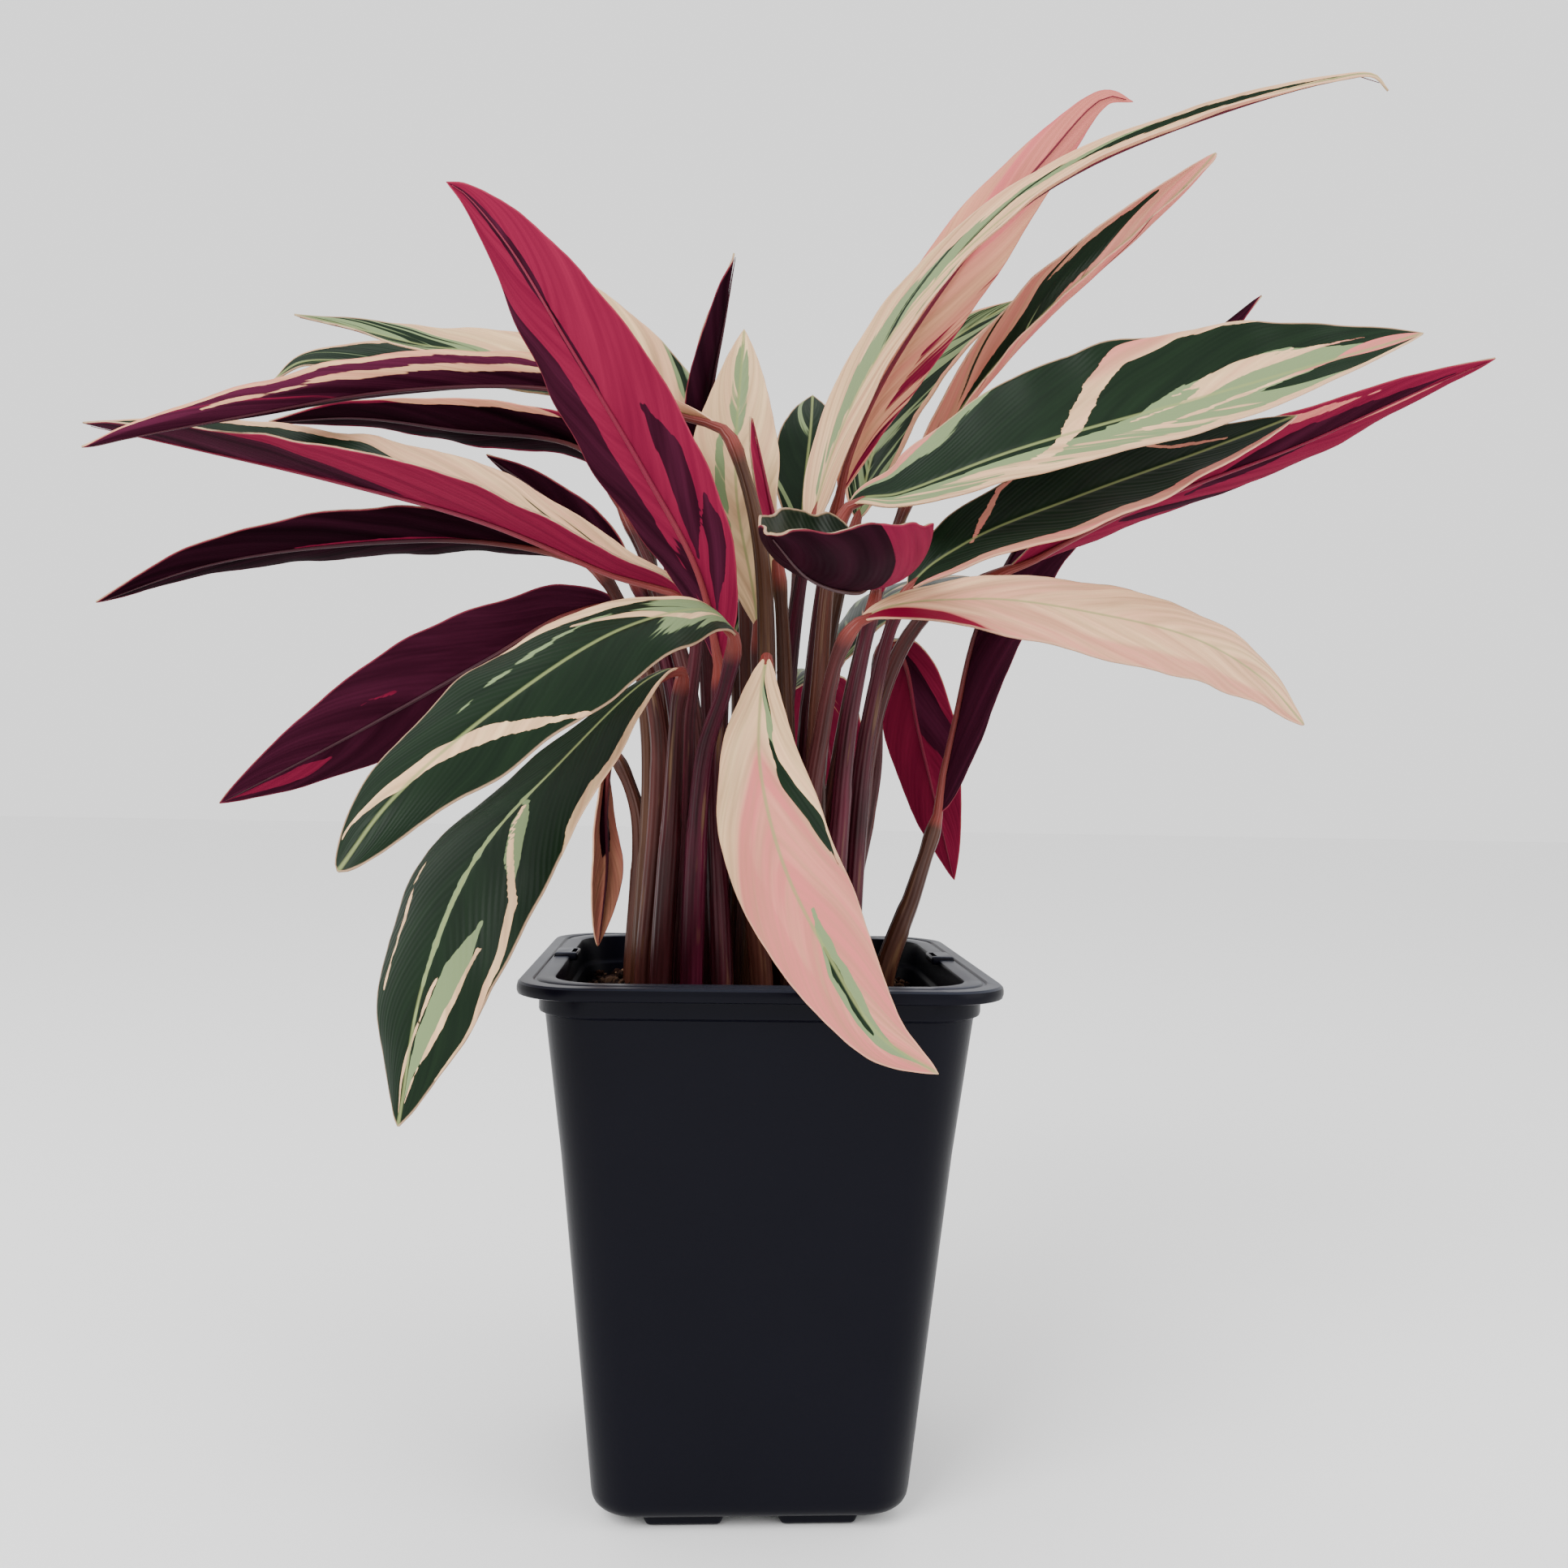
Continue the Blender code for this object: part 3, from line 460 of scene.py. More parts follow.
def stripe(leaf, u, v, width, course):
    """1 on a pointed stripe of this width through places (u, v) of the flat blade, and 0 off it."""
    softness, taper, least_width = 2.2, 0.3, 1.2
    at = np.linspace(0, 1, 160)
    course_u, course_v = (np.interp(at, np.linspace(0, 1, len(course)), way) for way in zip(*course))
    away = np.hypot((u[:, None] - course_u) * leaf["length"], (v[:, None] - course_v) * leaf["width"] / 2)
    reach = width / 2 * np.clip(np.minimum(at, 1 - at) / taper, least_width / width, 1.0)
    return np.clip(0.5 + (reach - away) / softness, 0, 1).max(1)


def flame(vein, v, half, low, high, inner, outer):
    """1 on a pointed patch that lies between two veins, or on a band along the margin, and 0 off it."""
    past_margin, along_feather, across_feather, patch_feather = 1.2, 0.08, 0.12, 0.7
    if outer > past_margin:
        inside = (smooth((vein - low) / along_feather + 0.5)
                  * smooth((high - vein) / along_feather + 0.5)
                  * smooth((np.abs(v) - inner) / across_feather + 0.5)
                  * smooth((outer - np.abs(v)) / across_feather + 0.5))
    else:
        root, tip = (0.0, outer) if inner == 0 else ((inner + outer) / 2, (outer - inner) / 2)
        away = np.hypot((vein - (low + high) / 2) / (high - low) * 1.8, (np.abs(v) - root) / tip)
        inside = smooth((1.0 - away) / patch_feather + 0.5)
    return inside * (v * half > 0) if half else inside


def amount_of(leaf, kind, start, u, v, vein, seed):
    """How strongly a colour shows at each point, by sectors between veins and the leaf's patches."""
    sector_width = 16.0
    sectors = np.array([noise.noise(Vector((a / sector_width, 9.0 if b > 0 else 2.0, seed)))
                        for a, b in zip(vein * leaf["length"], v)])
    amount = start + leaf.get("patchy", 0.35) * sectors
    for patch_kind, level, *shape in leaf.get("patches", ()):
        if patch_kind == kind:
            inside = stripe(leaf, u, v, *shape) if len(shape) == 2 else flame(vein, v, *shape)
            amount = amount * (1 - inside) + level * inside
    return amount


def make_blade(leaf, number, neck_at, places):
    """A flat grid bent along the line, cupped and folded, with a sunken midrib and wavy edges. Each
    point lies at u along the blade (0 to 1) and v across it (-1 to 1)."""
    bpy.ops.mesh.primitive_grid_add(x_subdivisions=blade_columns, y_subdivisions=blade_rows, size=2.0)
    blade = bpy.context.object
    flat = np.array([vert.co[:] for vert in blade.data.vertices])
    v, share = flat[:, 0], (flat[:, 1] + 1) / 2
    u = 0.75 * share + 0.25 * (1 - np.cos(np.pi * share)) / 2

    def ripple(spacing, apart, shift):
        return np.array([noise.noise(Vector((a / spacing, apart * np.sign(b), number * shift)))
                         for a, b in zip(u * leaf["length"], v)])

    waviness, wave_height, vein_spacing, quilt_height, rib_groove = 0.10, 1.5, 7.0, 0.05, 0.35
    swell = np.sin(np.pi * np.clip(u, 0, 1) ** (math.log(0.5) / math.log(leaf.get("peak", 0.45))))
    half = leaf["width"] / 2 * np.clip(swell, 0, None) ** leaf.get("blunt", 0.85)
    cup = (leaf["cup"][0] * (1 - u) + leaf["cup"][1] * u) * np.clip((half - 0.6) / 3.5, 0.001, 1.0)
    cup = np.where(np.abs(cup) < 0.001, 0.001, cup)
    half = np.maximum(half, 0.12) * (1 + leaf.get("lean", 0.0) * np.sign(v))
    half = half * (1 + waviness * ripple(21.0, 7.0, 2.3) * np.clip(np.minimum(u, 1 - u) / 0.15, 0, 1))
    across, lift = half * np.sin(cup * v) / cup, half * (1 - np.cos(cup * v)) / cup
    fold = leaf.get("fold", 0.0)
    across, lift = (across * math.cos(fold) - np.abs(lift) * math.sin(fold) * np.sign(v),
                    np.abs(across) * math.sin(fold) + lift * math.cos(fold))
    reach = half * v
    vein = u - 0.3 * np.abs(v) ** 1.25
    quilt = quilt_height * np.sin(vein * leaf["length"] * 2 * np.pi / vein_spacing)
    lift = lift + wave_height * ripple(17.0, 4.0, 3.7) * np.abs(v) ** 1.6 * np.clip(half / 12, 0, 1)
    lift = lift + quilt * np.clip(half / 10, 0, 1) * np.clip(np.abs(reach) / 3, 0, 1)
    lift = lift - rib_groove * np.exp(-(reach / 0.9) ** 2) * np.clip(half / 6, 0, 1)
    centre, beside, face = places(neck_at + u * leaf["length"])
    spots = centre + beside * across[:, None] + face * lift[:, None]
    blade.data.vertices.foreach_set("co", (spots / 1000).ravel())
    note(blade, "vein", np.stack([vein * leaf["length"], reach, np.full(len(u), number * 7.3)], 1))
    note(blade, "rim", half - np.abs(reach))
    for kind, start in (("white", 0.35), ("pale", 0.4), ("blush", 0.3), ("glow", 0.5)):
        note(blade, kind,
             amount_of(leaf, kind, leaf.get(kind, start), u, v, vein, number * 1.7 + len(kind)))
    blade.data.materials.append(bpy.data.materials["leaf_upper_face"])
    blade.data.materials.append(bpy.data.materials["leaf_underside"])
    shell = blade.modifiers.new("thickness", "SOLIDIFY")
    shell.thickness = blade_thickness / 1000
    shell.offset = 0.0
    shell.material_offset = 1
    apply_modifiers(blade)
    return blade


def make_stalk(leaf, number, neck_at, places):
    """An open tube pulled up the same line: sheathed below, swollen at the joint under the blade, and
    tapering out along the blade's underside as its rib."""
    bpy.ops.mesh.primitive_circle_add(vertices=stalk_sides, radius=1.0, fill_type="NOTHING")
    stalk = bpy.context.object
    edit(stalk)
    bpy.ops.mesh.select_all(action="SELECT")
    for _ in range(stalk_rings + rib_rings - 1):
        bpy.ops.mesh.extrude_region_move(TRANSFORM_OT_translate={"value": (0, 0, 1.0)})
    done()
    tube = np.array([vert.co[:] for vert in stalk.data.vertices])
    ring = np.rint(tube[:, 2]).astype(int)
    angle = np.arctan2(tube[:, 1], tube[:, 0])
    distance = np.concatenate([np.linspace(0, neck_at, stalk_rings + 1)[:-1],
                               neck_at + leaf["length"] * np.linspace(0, 0.985, rib_rings)])[ring]
    climb = np.clip(distance / neck_at, 0, 1)
    u = np.clip(distance - neck_at, 0, None) / leaf["length"]
    joint_swell, joint_drop, joint_reach, sheath_wall, groove_depth = 0.75, 7.0, 5.5, 0.35, 0.45
    joint = joint_swell * np.exp(-((neck_at - distance - joint_drop) / joint_reach) ** 2)
    sheath_end = 0.52 + 0.08 * math.sin(number * 2.1) + 0.05 * np.cos(angle - number)
    sheath = sheath_wall * np.clip((sheath_end - climb) / 0.02, 0, 1)
    groove = groove_depth * np.exp(-((angle - 1.2) / 0.3) ** 2) * (climb < sheath_end)
    radius = neck_radius + (foot_radius - neck_radius) * (1 - climb ** 3) + joint + sheath - groove
    rib = neck_radius * (1 - u) ** 0.9 * (0.55 + 0.45 * np.exp(-u / 0.05)) + 0.12
    radius = np.where(u > 0, rib, radius)
    sink = np.clip(u / 0.05, 0, 1) * (blade_thickness / 2 + radius * 0.9 + 0.3)
    centre, beside, face = places(distance)
    spots = (centre + beside * (radius * np.cos(angle))[:, None]
             + face * (radius * np.sin(angle) - sink)[:, None])
    stalk.data.vertices.foreach_set("co", (spots / 1000).ravel())
    note(stalk, "vein", np.stack([np.abs(angle) * 9.0, distance * 0.4, np.full(len(u), number * 7.3)], 1))
    note(stalk, "white", climb)
    note(stalk, "pale", np.clip(u * 3, 0, 1))
    note(stalk, "blush", np.full(len(u), leaf.get("stalk", number * 0.37 % 1.0)))
    note(stalk, "glow", np.full(len(u), leaf.get("glow", 0.5)))
    edit(stalk)
    point_outwards()
    done()
    stalk.data.materials.append(bpy.data.materials["leaf_stalk"])
    return stalk


def make_leaf(leaf, number):
    line, neck = spine(leaf)
    length = np.concatenate([[0], np.cumsum(np.linalg.norm(np.diff(line, axis=0), axis=1))])
    heading = np.gradient(line, length, axis=0)
    neck_at = length[neck]
    leaf["length"] = length[-1] - neck_at
    neck_side, tip_side = (np.array(side, float) for side in leaf["side"])

    def places(distance):
        """The line's points at these distances, with the ways across the blade and out of its face."""
        centre = np.stack([np.interp(distance, length, line[:, k]) for k in range(3)], 1)
        along = np.stack([np.interp(distance, length, heading[:, k]) for k in range(3)], 1)
        along /= np.linalg.norm(along, axis=1)[:, None]
        u = np.clip(distance - neck_at, 0, None)[:, None] / leaf["length"]
        beside = neck_side * (1 - u) + tip_side * u
        beside = beside - along * (beside * along).sum(1)[:, None]
        beside /= np.linalg.norm(beside, axis=1)[:, None]
        return centre, beside, np.cross(beside, along)

    blade = make_blade(leaf, number, neck_at, places)
    stalk = make_stalk(leaf, number, neck_at, places)
    pick(blade)
    stalk.select_set(True)
    bpy.ops.object.join()
    bpy.ops.object.shade_smooth()
    blade.name = leaf["name"] + "_with_stalk"
    blade.select_set(False)
    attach(blade, "root")
    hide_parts(leaf["name"])


streaks = bpy.data.node_groups.new("vein_streaks", "ShaderNodeTree")
streaks.interface.new_socket("Vein", in_out="INPUT", socket_type="NodeSocketVector")
streaks.interface.new_socket("Shift", in_out="INPUT", socket_type="NodeSocketFloat")
streaks.interface.new_socket("Streak", in_out="OUTPUT", socket_type="NodeSocketFloat")
streak_in, streak_out = streaks.nodes.new("NodeGroupInput"), streaks.nodes.new("NodeGroupOutput")
group = Nodes(streaks)
drawn_out = group.add("VectorMath", "Vector", {0: streak_in.outputs["Vein"], 1: (0.12, 0.06, 1.0)},
                      operation="MULTIPLY")
total = 0.0
for scale, weight in ((1.0, 0.78), (3.1, 0.22)):
    waves = group.add("TexNoise", "Fac", {"Vector": drawn_out, "W": streak_in.outputs["Shift"],
                                          "Scale": scale, "Detail": 2.0}, noise_dimensions="4D")
    total = group.add("Math", 0, {0: waves, 1: weight, 2: total}, operation="MULTIPLY_ADD")
group.feed(streak_out, {"Streak": total})


class LeafNodes(Nodes):
    """A leaf material's nodes. Each shift picks other streaks, and all of them run with the veins."""

    def __init__(self, name, coarse, soft):
        material, self.shader = new_material(name)
        super().__init__(material.node_tree)
        self.coarse, self.soft = coarse, soft

    def value(self, name):
        return self.add("Attribute", "Fac", attribute_name=name)

    def vein(self, axis):
        return self.add("SeparateXYZ", axis, {0: self.add("Attribute", "Vector", attribute_name="vein")})

    def streak(self, shift):
        vein = self.add("Attribute", "Vector", attribute_name="vein")
        return self.add("Group", "Streak", {"Vein": vein, "Shift": shift}, node_tree=streaks)

    def mask(self, name, shift):
        """1 where the stored value is high and 0 where it is low, with an edge frayed by streaks."""
        push = self.add("Math", 0, {0: self.streak(shift), 1: self.coarse, 2: self.value(name)},
                        operation="MULTIPLY_ADD")
        middle = 0.5 + self.coarse / 2
        return self.add("MapRange", 0, {0: push, 1: middle - self.soft, 2: middle + self.soft},
                        interpolation_type="SMOOTHSTEP")

    def blushed(self, plain, flushed):
        """A pale colour that flushes pink where the leaf's blush is strong."""
        flush = self.add("Math", 0, {0: self.streak(7.0), 1: self.value("blush")})
        return self.mix(self.ramp(flush, 0.35, 1.6), plain, flushed)

    def finish(self, tint, specular, gloss, furrow_strength, furrow_depth):
        """Feeds the shader its colour and shine, and the fine furrows that run beside the veins."""
        furrows = self.add("Math", 0, {0: self.vein("X"), 1: 1.4}, operation="MULTIPLY")
        furrows = self.add("Math", 0, {0: furrows}, operation="SINE")
        self.feed(self.shader, {
            "Base Color": tint, "Specular IOR Level": specular,
            "Roughness": self.ramp(self.streak(2.0), 0.0, 1.0, *gloss),
            "Normal": self.bump(furrow_strength, furrow_depth, furrows)})


def linear(red, green, blue):
    """A screen colour (0 to 255) in the linear values that a shader takes."""
    return tuple((c / 255 / 12.92 if c < 11 else ((c / 255 + 0.055) / 1.055) ** 2.4)
                 for c in (red, green, blue)) + (1,)


upper = LeafNodes("leaf_upper_face", coarse=1.5, soft=0.045)
green = upper.mix(upper.streak(11.0), linear(7, 15, 10), linear(24, 42, 24))
green = upper.mix(upper.mask("pale", 3.0), green, linear(112, 128, 90))
cream = upper.blushed(linear(226, 194, 146), linear(196, 106, 102))
cream = upper.mix(upper.ramp(upper.streak(33.0), 0.38, 0.68, 0.0, 0.7), cream, linear(150, 118, 88))
cream = upper.mix(upper.ramp(upper.value("blush"), 1.4, 2.2), cream, linear(112, 12, 40))
tint = upper.mix(upper.mask("white", 5.0), green, cream)
off_rib = upper.add("Math", 0, {0: upper.vein("Y")}, operation="ABSOLUTE")
tint = upper.mix(upper.ramp(off_rib, 0.8, 0.3, 0.0, 0.7), tint, linear(128, 138, 88))
tint = upper.mix(upper.ramp(upper.value("rim"), 0.6, 0.2, 0.0, 0.55), tint, linear(208, 168, 136))
upper.finish(tint, 0.08, (0.3, 0.46), 0.1, 0.0003)

under = LeafNodes("leaf_underside", coarse=1.5, soft=0.06)
violet = under.add("Math", 0, {0: under.streak(11.0), 1: under.value("pale")}, operation="MULTIPLY")
wine = under.mix(under.ramp(violet, 0.0, 0.5), linear(9, 1, 4), linear(76, 26, 48))
magenta = under.mix(under.streak(4.0), linear(72, 4, 30), linear(136, 34, 62))
wine = under.mix(under.mask("glow", 3.0), wine, magenta)
rosy = under.blushed(linear(216, 170, 126), linear(196, 100, 100))
rosy = under.mix(under.ramp(under.streak(33.0), 0.42, 0.75, 0.0, 0.5), rosy, linear(146, 100, 78))
tint = under.mix(under.mask("white", 5.0), wine, rosy)
tint = under.mix(under.ramp(under.value("rim"), 0.6, 0.2, 0.0, 0.3), tint, linear(190, 80, 96))
under.finish(tint, 0.01, (0.5, 0.66), 0.1, 0.0003)

stem = LeafNodes("leaf_stalk", coarse=1.2, soft=0.2)
bark = stem.mix(stem.value("blush"), linear(78, 16, 38), linear(70, 44, 28))
shade = stem.mix(stem.value("blush"), linear(38, 8, 16), linear(52, 26, 18))
bark = stem.mix(stem.ramp(stem.streak(9.0), 0.35, 0.65), bark, shade)
bark = stem.mix(stem.ramp(stem.streak(21.0), 0.58, 0.7), bark, linear(96, 70, 48))
bark = stem.mix(stem.ramp(stem.value("white"), 0.93, 0.97), bark, linear(112, 48, 42))
rib_tint = stem.mix(stem.value("glow"), linear(48, 14, 24), linear(104, 16, 42))
stem.finish(stem.mix(stem.value("pale"), bark, rib_tint), 0.18, (0.3, 0.46), 0.3, 0.0004)

for number, leaf in enumerate(front_leaves):
    make_leaf(leaf, number)


# Leaves on the left: long blades that lean out and show mostly their wine-red undersides; one is
# folded along its midrib and one is still rolled. They grew and are made as the front leaves are.
left_leaves = [
    dict(name="long_rolled_left_leaf", slot="leaf_green", root=(-2, -17), width=25,
         stem=[(1, -24, 265), (-2, -30, 310), (-8, -29, 335)],
         blade=[(-15, -26, 350), (-40, -16, 360), (-78, -10, 367), (-127, -6, 365), (-174, -10, 354),
                (-207, -8, 347), (-230, -2, 343)],
         side=((0.25, 0.9, -0.35), (0.3, 0.95, -0.25)), cup=(1.2, 1.5), peak=0.5,
         white=0, glow=0.1, stalk=1, blush=0.1,
         patches=[("white", 1, -1, -0.3, 1, 0.86, 1.3), ("white", 1, 0, -0.4, 0.08, 0, 1.3),
                  ("white", 1, 2.4, [(0.1, -0.6), (0.4, -0.55), (0.8, -0.6)]),
                  ("pale", 1, 0, -0.4, 1, 0.5, 1.3)]),
    dict(name="folded_left_leaf", slot="leaf_green", root=(-27, -14), width=38,
         stem=[(-25, -22, 251)],
         blade=[(-25, -24, 293), (-53, -22, 304), (-93, -16, 320), (-150, 0, 336), (-197, 18, 348),
                (-246, 36, 360)],
         side=((0.2, 0.95, 0.3), (0.4, 0.8, 0.4)), cup=(0.2, 0.2), fold=0.75,
         white=-0.1, glow=1, pale=0.4,
         patches=[("white", -0.3, -1, -0.4, 1.1, 0, 1.3), ("glow", 0, -1, 0.42, 1.1, 0, 1.3),
                  ("white", 0.75, 1, -0.4, 0.3, 0, 1.3), ("pale", 0, 1, 0.32, 0.8, 0, 1.3),
                  ("white", 1, 1, -0.4, 1, 0.86, 1.3),
                  ("white", 1, 3, [(0.2, 0.3), (0.35, 0.35), (0.6, 0.3)])]),
    dict(name="burgundy_left_leaf", slot="leaf_burgundy", root=(-38, -4), width=29,
         stem=[(-35, -6, 252), (-49, 2, 295)],
         blade=[(-61, 8, 310), (-97, 12, 318), (-153, 14, 315), (-196, 16, 307), (-232, 16, 293)],
         side=((0, 0.9, -0.45), (0.15, 0.9, -0.45)), cup=(0.5, 0.5), peak=0.42,
         white=-0.2, glow=0, pale=0.1, patchy=0.2,
         patches=[("glow", 0.9, 0, 0.25, 0.6, 0, 0.08)]),
    dict(name="purple_low_left_leaf", slot="leaf_burgundy", root=(-40, 10), width=40,
         stem=[(-39, 10, 252)],
         blade=[(-50, 12, 295), (-68, 12, 293), (-96, 10, 276), (-142, 6, 248), (-184, 2, 224)],
         side=((0.1, 0.6, -0.8), (0.4, 0.55, -0.75)), cup=(0.4, 0.4),
         white=-0.2, glow=0, pale=0.42, patchy=0.2,
         patches=[("glow", 1, 9, [(0.74, 0.3), (0.86, 0.4), (0.99, 0.2)]),
                  ("glow", 0.75, 2, [(0.55, -0.3), (0.64, -0.45), (0.72, -0.75)])]),
    dict(name="upper_twisted_left_leaf", slot="leaf_green", root=(-26, 16), width=23,
         stem=[(-28, 18, 267)],
         blade=[(-45, 34, 372), (-60, 42, 385), (-98, 54, 395), (-130, 58, 399), (-155, 60, 405),
                (-179, 62, 410)],
         side=((0.7, 0.35, 0.65), (0.2, 0.8, 0.6)), cup=(0.6, 0.7), peak=0.4,
         white=0.1, pale=0.5, blush=0.1,
         patches=[("white", 1, 0, 0.1, 0.45, 0, 1.3), ("white", -0.1, 0, -0.4, 0.1, 0, 1.3)]),
    dict(name="green_hooked_left_leaf", slot="leaf_green", root=(-34, 26), width=26,
         stem=[(-34, 32, 268)],
         blade=[(-59, 60, 379), (-75, 72, 388), (-109, 82, 397), (-162, 90, 401), (-185, 92, 400),
                (-195, 92, 393)],
         side=((0.65, 0.35, 0.65), (-0.5, 0.55, 0.7)), cup=(0.5, 0.6),
         white=-0.1, pale=0.3,
         patches=[("white", 0.8, 1, -0.3, 1, 0.88, 1.3)]),
    dict(name="narrow_dark_left_leaf", slot="leaf_burgundy", root=(-30, 3), width=17,
         stem=[(-29, 0, 257)],
         blade=[(-47, 6, 308), (-72, 14, 331), (-99, 22, 350)],
         side=((-0.3, 0.75, -0.6), (-0.2, 0.8, -0.6)), cup=(0.5, 0.5), peak=0.4,
         white=-0.2, glow=0, pale=0.15, patchy=0.2),
    dict(name="dark_pink_edged_left_leaf", slot="leaf_burgundy", root=(-18, -4), width=24,
         stem=[(-25, -4, 266)],
         blade=[(-50, 12, 331), (-64, 20, 353), (-112, 30, 361), (-149, 38, 366), (-183, 46, 365)],
         side=((-0.25, 0.85, -0.45), (0.2, 0.85, -0.45)), cup=(0.5, 0.5), peak=0.42,
         white=-0.2, glow=0, pale=0.12, patchy=0.2,
         patches=[("glow", 1, 0, -0.3, 1, 0.85, 1.3), ("white", 0.9, -1, 0, 0.4, 0.8, 1.3)]),
    dict(name="small_hanging_leaf", slot="leaf_green", root=(-43, 20), width=16,
         stem=[(-43, 26, 223)],
         blade=[(-54, 32, 245), (-56, 34, 225), (-55, 34, 201), (-57, 32, 173)],
         side=((0.3, 0.9, 0), (0.8, 0.6, 0)), cup=(-0.3, -0.3), peak=0.55,
         white=0.95, glow=0.2, blush=0.6, pale=0.2,
         patches=[("white", -0.1, 0, 0.1, 0.5, 0, 0.4)]),
]
for number, leaf in enumerate(left_leaves, 5):
    make_leaf(leaf, number)


# Leaves in the middle: the tall magenta leaf, the upright cream one, a rolled spike that has not
# opened yet and the thin leaf that arches over the top. They are made as the front leaves are.
centre_leaves = [
    dict(name="tall_magenta_leaf", slot="leaf_magenta", root=(-12, -27), width=38,
         stem=[(-16, -30, 238)],
         blade=[(-15, -36, 272), (-21, -42, 299), (-39, -48, 331), (-63, -50, 369), (-83, -44, 401),
                (-98, -38, 419), (-104, -36, 423)],
         side=((-0.85, 0.5, -0.1), (-0.45, 0.4, -0.8)), cup=(0.6, 0.4),
         white=-0.1, glow=1.1, patchy=0.3,
         patches=[("glow", -0.2, 0, 0.7, 1, 0, 0.16), ("glow", 0.1, 0, 0.5, 0.7, 0, 0.07),
                  ("glow", -0.2, 1, -0.3, 0.5, 0.38, 1.3),
                  ("glow", -0.4, 7, [(0.46, -0.5), (0.37, -0.55), (0.28, -0.4), (0.19, -0.12)]),
                  ("glow", -0.4, 7, [(0.28, -0.75), (0.2, -0.62), (0.1, -0.25)]),
                  ("glow", 0.2, 1, 0, 0.2, 0, 0.4)]),
    dict(name="cream_upright_leaf", slot="leaf_cream", root=(-4, -5), width=30,
         stem=[(-3, -8, 238)],
         blade=[(-2, -14, 286), (-10, -4, 336), (-8, 6, 393)],
         side=((1, 0, 0.15), (1, 0, -0.05)), cup=(0.5, 0.3), peak=0.5,
         white=1.1, blush=0, pale=0.9, patchy=0.2,
         patches=[("white", 0.35, 0, 0.62, 0.95, 0, 0.45), ("white", 0.4, -1, 0.2, 0.6, 0.2, 0.5)]),
    dict(name="magenta_sliver_leaf", slot="leaf_magenta", root=(9, -12), width=13,
         stem=[(8, -15, 258)],
         blade=[(4, -17, 309), (-1, -17, 333), (-6, -16, 357)],
         side=((-0.2, -0.95, -0.05), (-0.3, -0.95, -0.05)), cup=(0.6, 0.5),
         glow=1, white=0),
    dict(name="furled_spike_leaf", slot="leaf_burgundy", root=(-12, 6), width=22,
         stem=[(-18, 8, 267)],
         blade=[(-23, 10, 338), (-20, 10, 373), (-16, 10, 396), (-12, 10, 421)],
         side=((0.1, -1, 0), (0.1, -1, 0)), cup=(2.4, 2.4), peak=0.35,
         glow=0.05, white=-0.1, pale=0.15),
    dict(name="cream_green_back_leaf", slot="leaf_cream", root=(-3, 14), width=24,
         stem=[(-4, 14, 267)],
         blade=[(-11, 16, 334), (-29, 22, 364), (-49, 28, 394), (-69, 34, 419)],
         side=((0.8, 0.4, 0.4), (0.75, 0.4, 0.5)), cup=(0.3, 0.3),
         white=0.9, blush=0.1, pale=0.6,
         patches=[("white", 0.3, -1, 0.3, 0.9, 0.3, 1.3), ("white", -0.1, 1, -0.3, 0.35, 0.4, 1.3)]),
    dict(name="long_thin_leaf", slot="leaf_cream", root=(6, 1), width=20,
         stem=[(8, -2, 253)],
         blade=[(16, -4, 322), (28, -2, 362), (48, -6, 397), (79, -14, 428), (106, -16, 446),
                (152, -14, 467),
                (193, -12, 481), (208, -12, 483), (213, -12, 478)],
         side=((0.8, -0.55, -0.2), (-0.6, -0.4, -0.65)), cup=(0.5, 1.3), peak=0.28,
         white=0.8, blush=0.2, pale=0.7,
         patches=[("white", 0.1, 5, [(0.05, -0.2), (0.3, -0.3), (0.52, -0.5)]),
                  ("white", -0.1, 3, [(0.45, 0.5), (0.7, 0.5), (0.97, 0.3)]),
                  ("white", -0.1, 3, [(0.5, -0.5), (0.75, -0.6), (0.95, -0.3)]),
                  ("pale", 0.2, 0, 0.45, 1.1, 0, 1.3), ("white", 0.1, 3, [(0.3, 0.6), (0.42, 0.5),
                                                                          (0.6, 0.6)])]),
    dict(name="dark_green_back_leaf", slot="leaf_green", root=(4, 28), width=26,
         stem=[(11, 34, 269)],
         blade=[(16, 50, 323), (18, 62, 350), (21, 76, 376), (23, 96, 395)],
         side=((1, -0.05, -0.05), (1, -0.05, -0.05)), cup=(0.3, 0.3), peak=0.5,
         white=0, pale=0.3),
]
for number, leaf in enumerate(centre_leaves, 14):
    make_leaf(leaf, number)


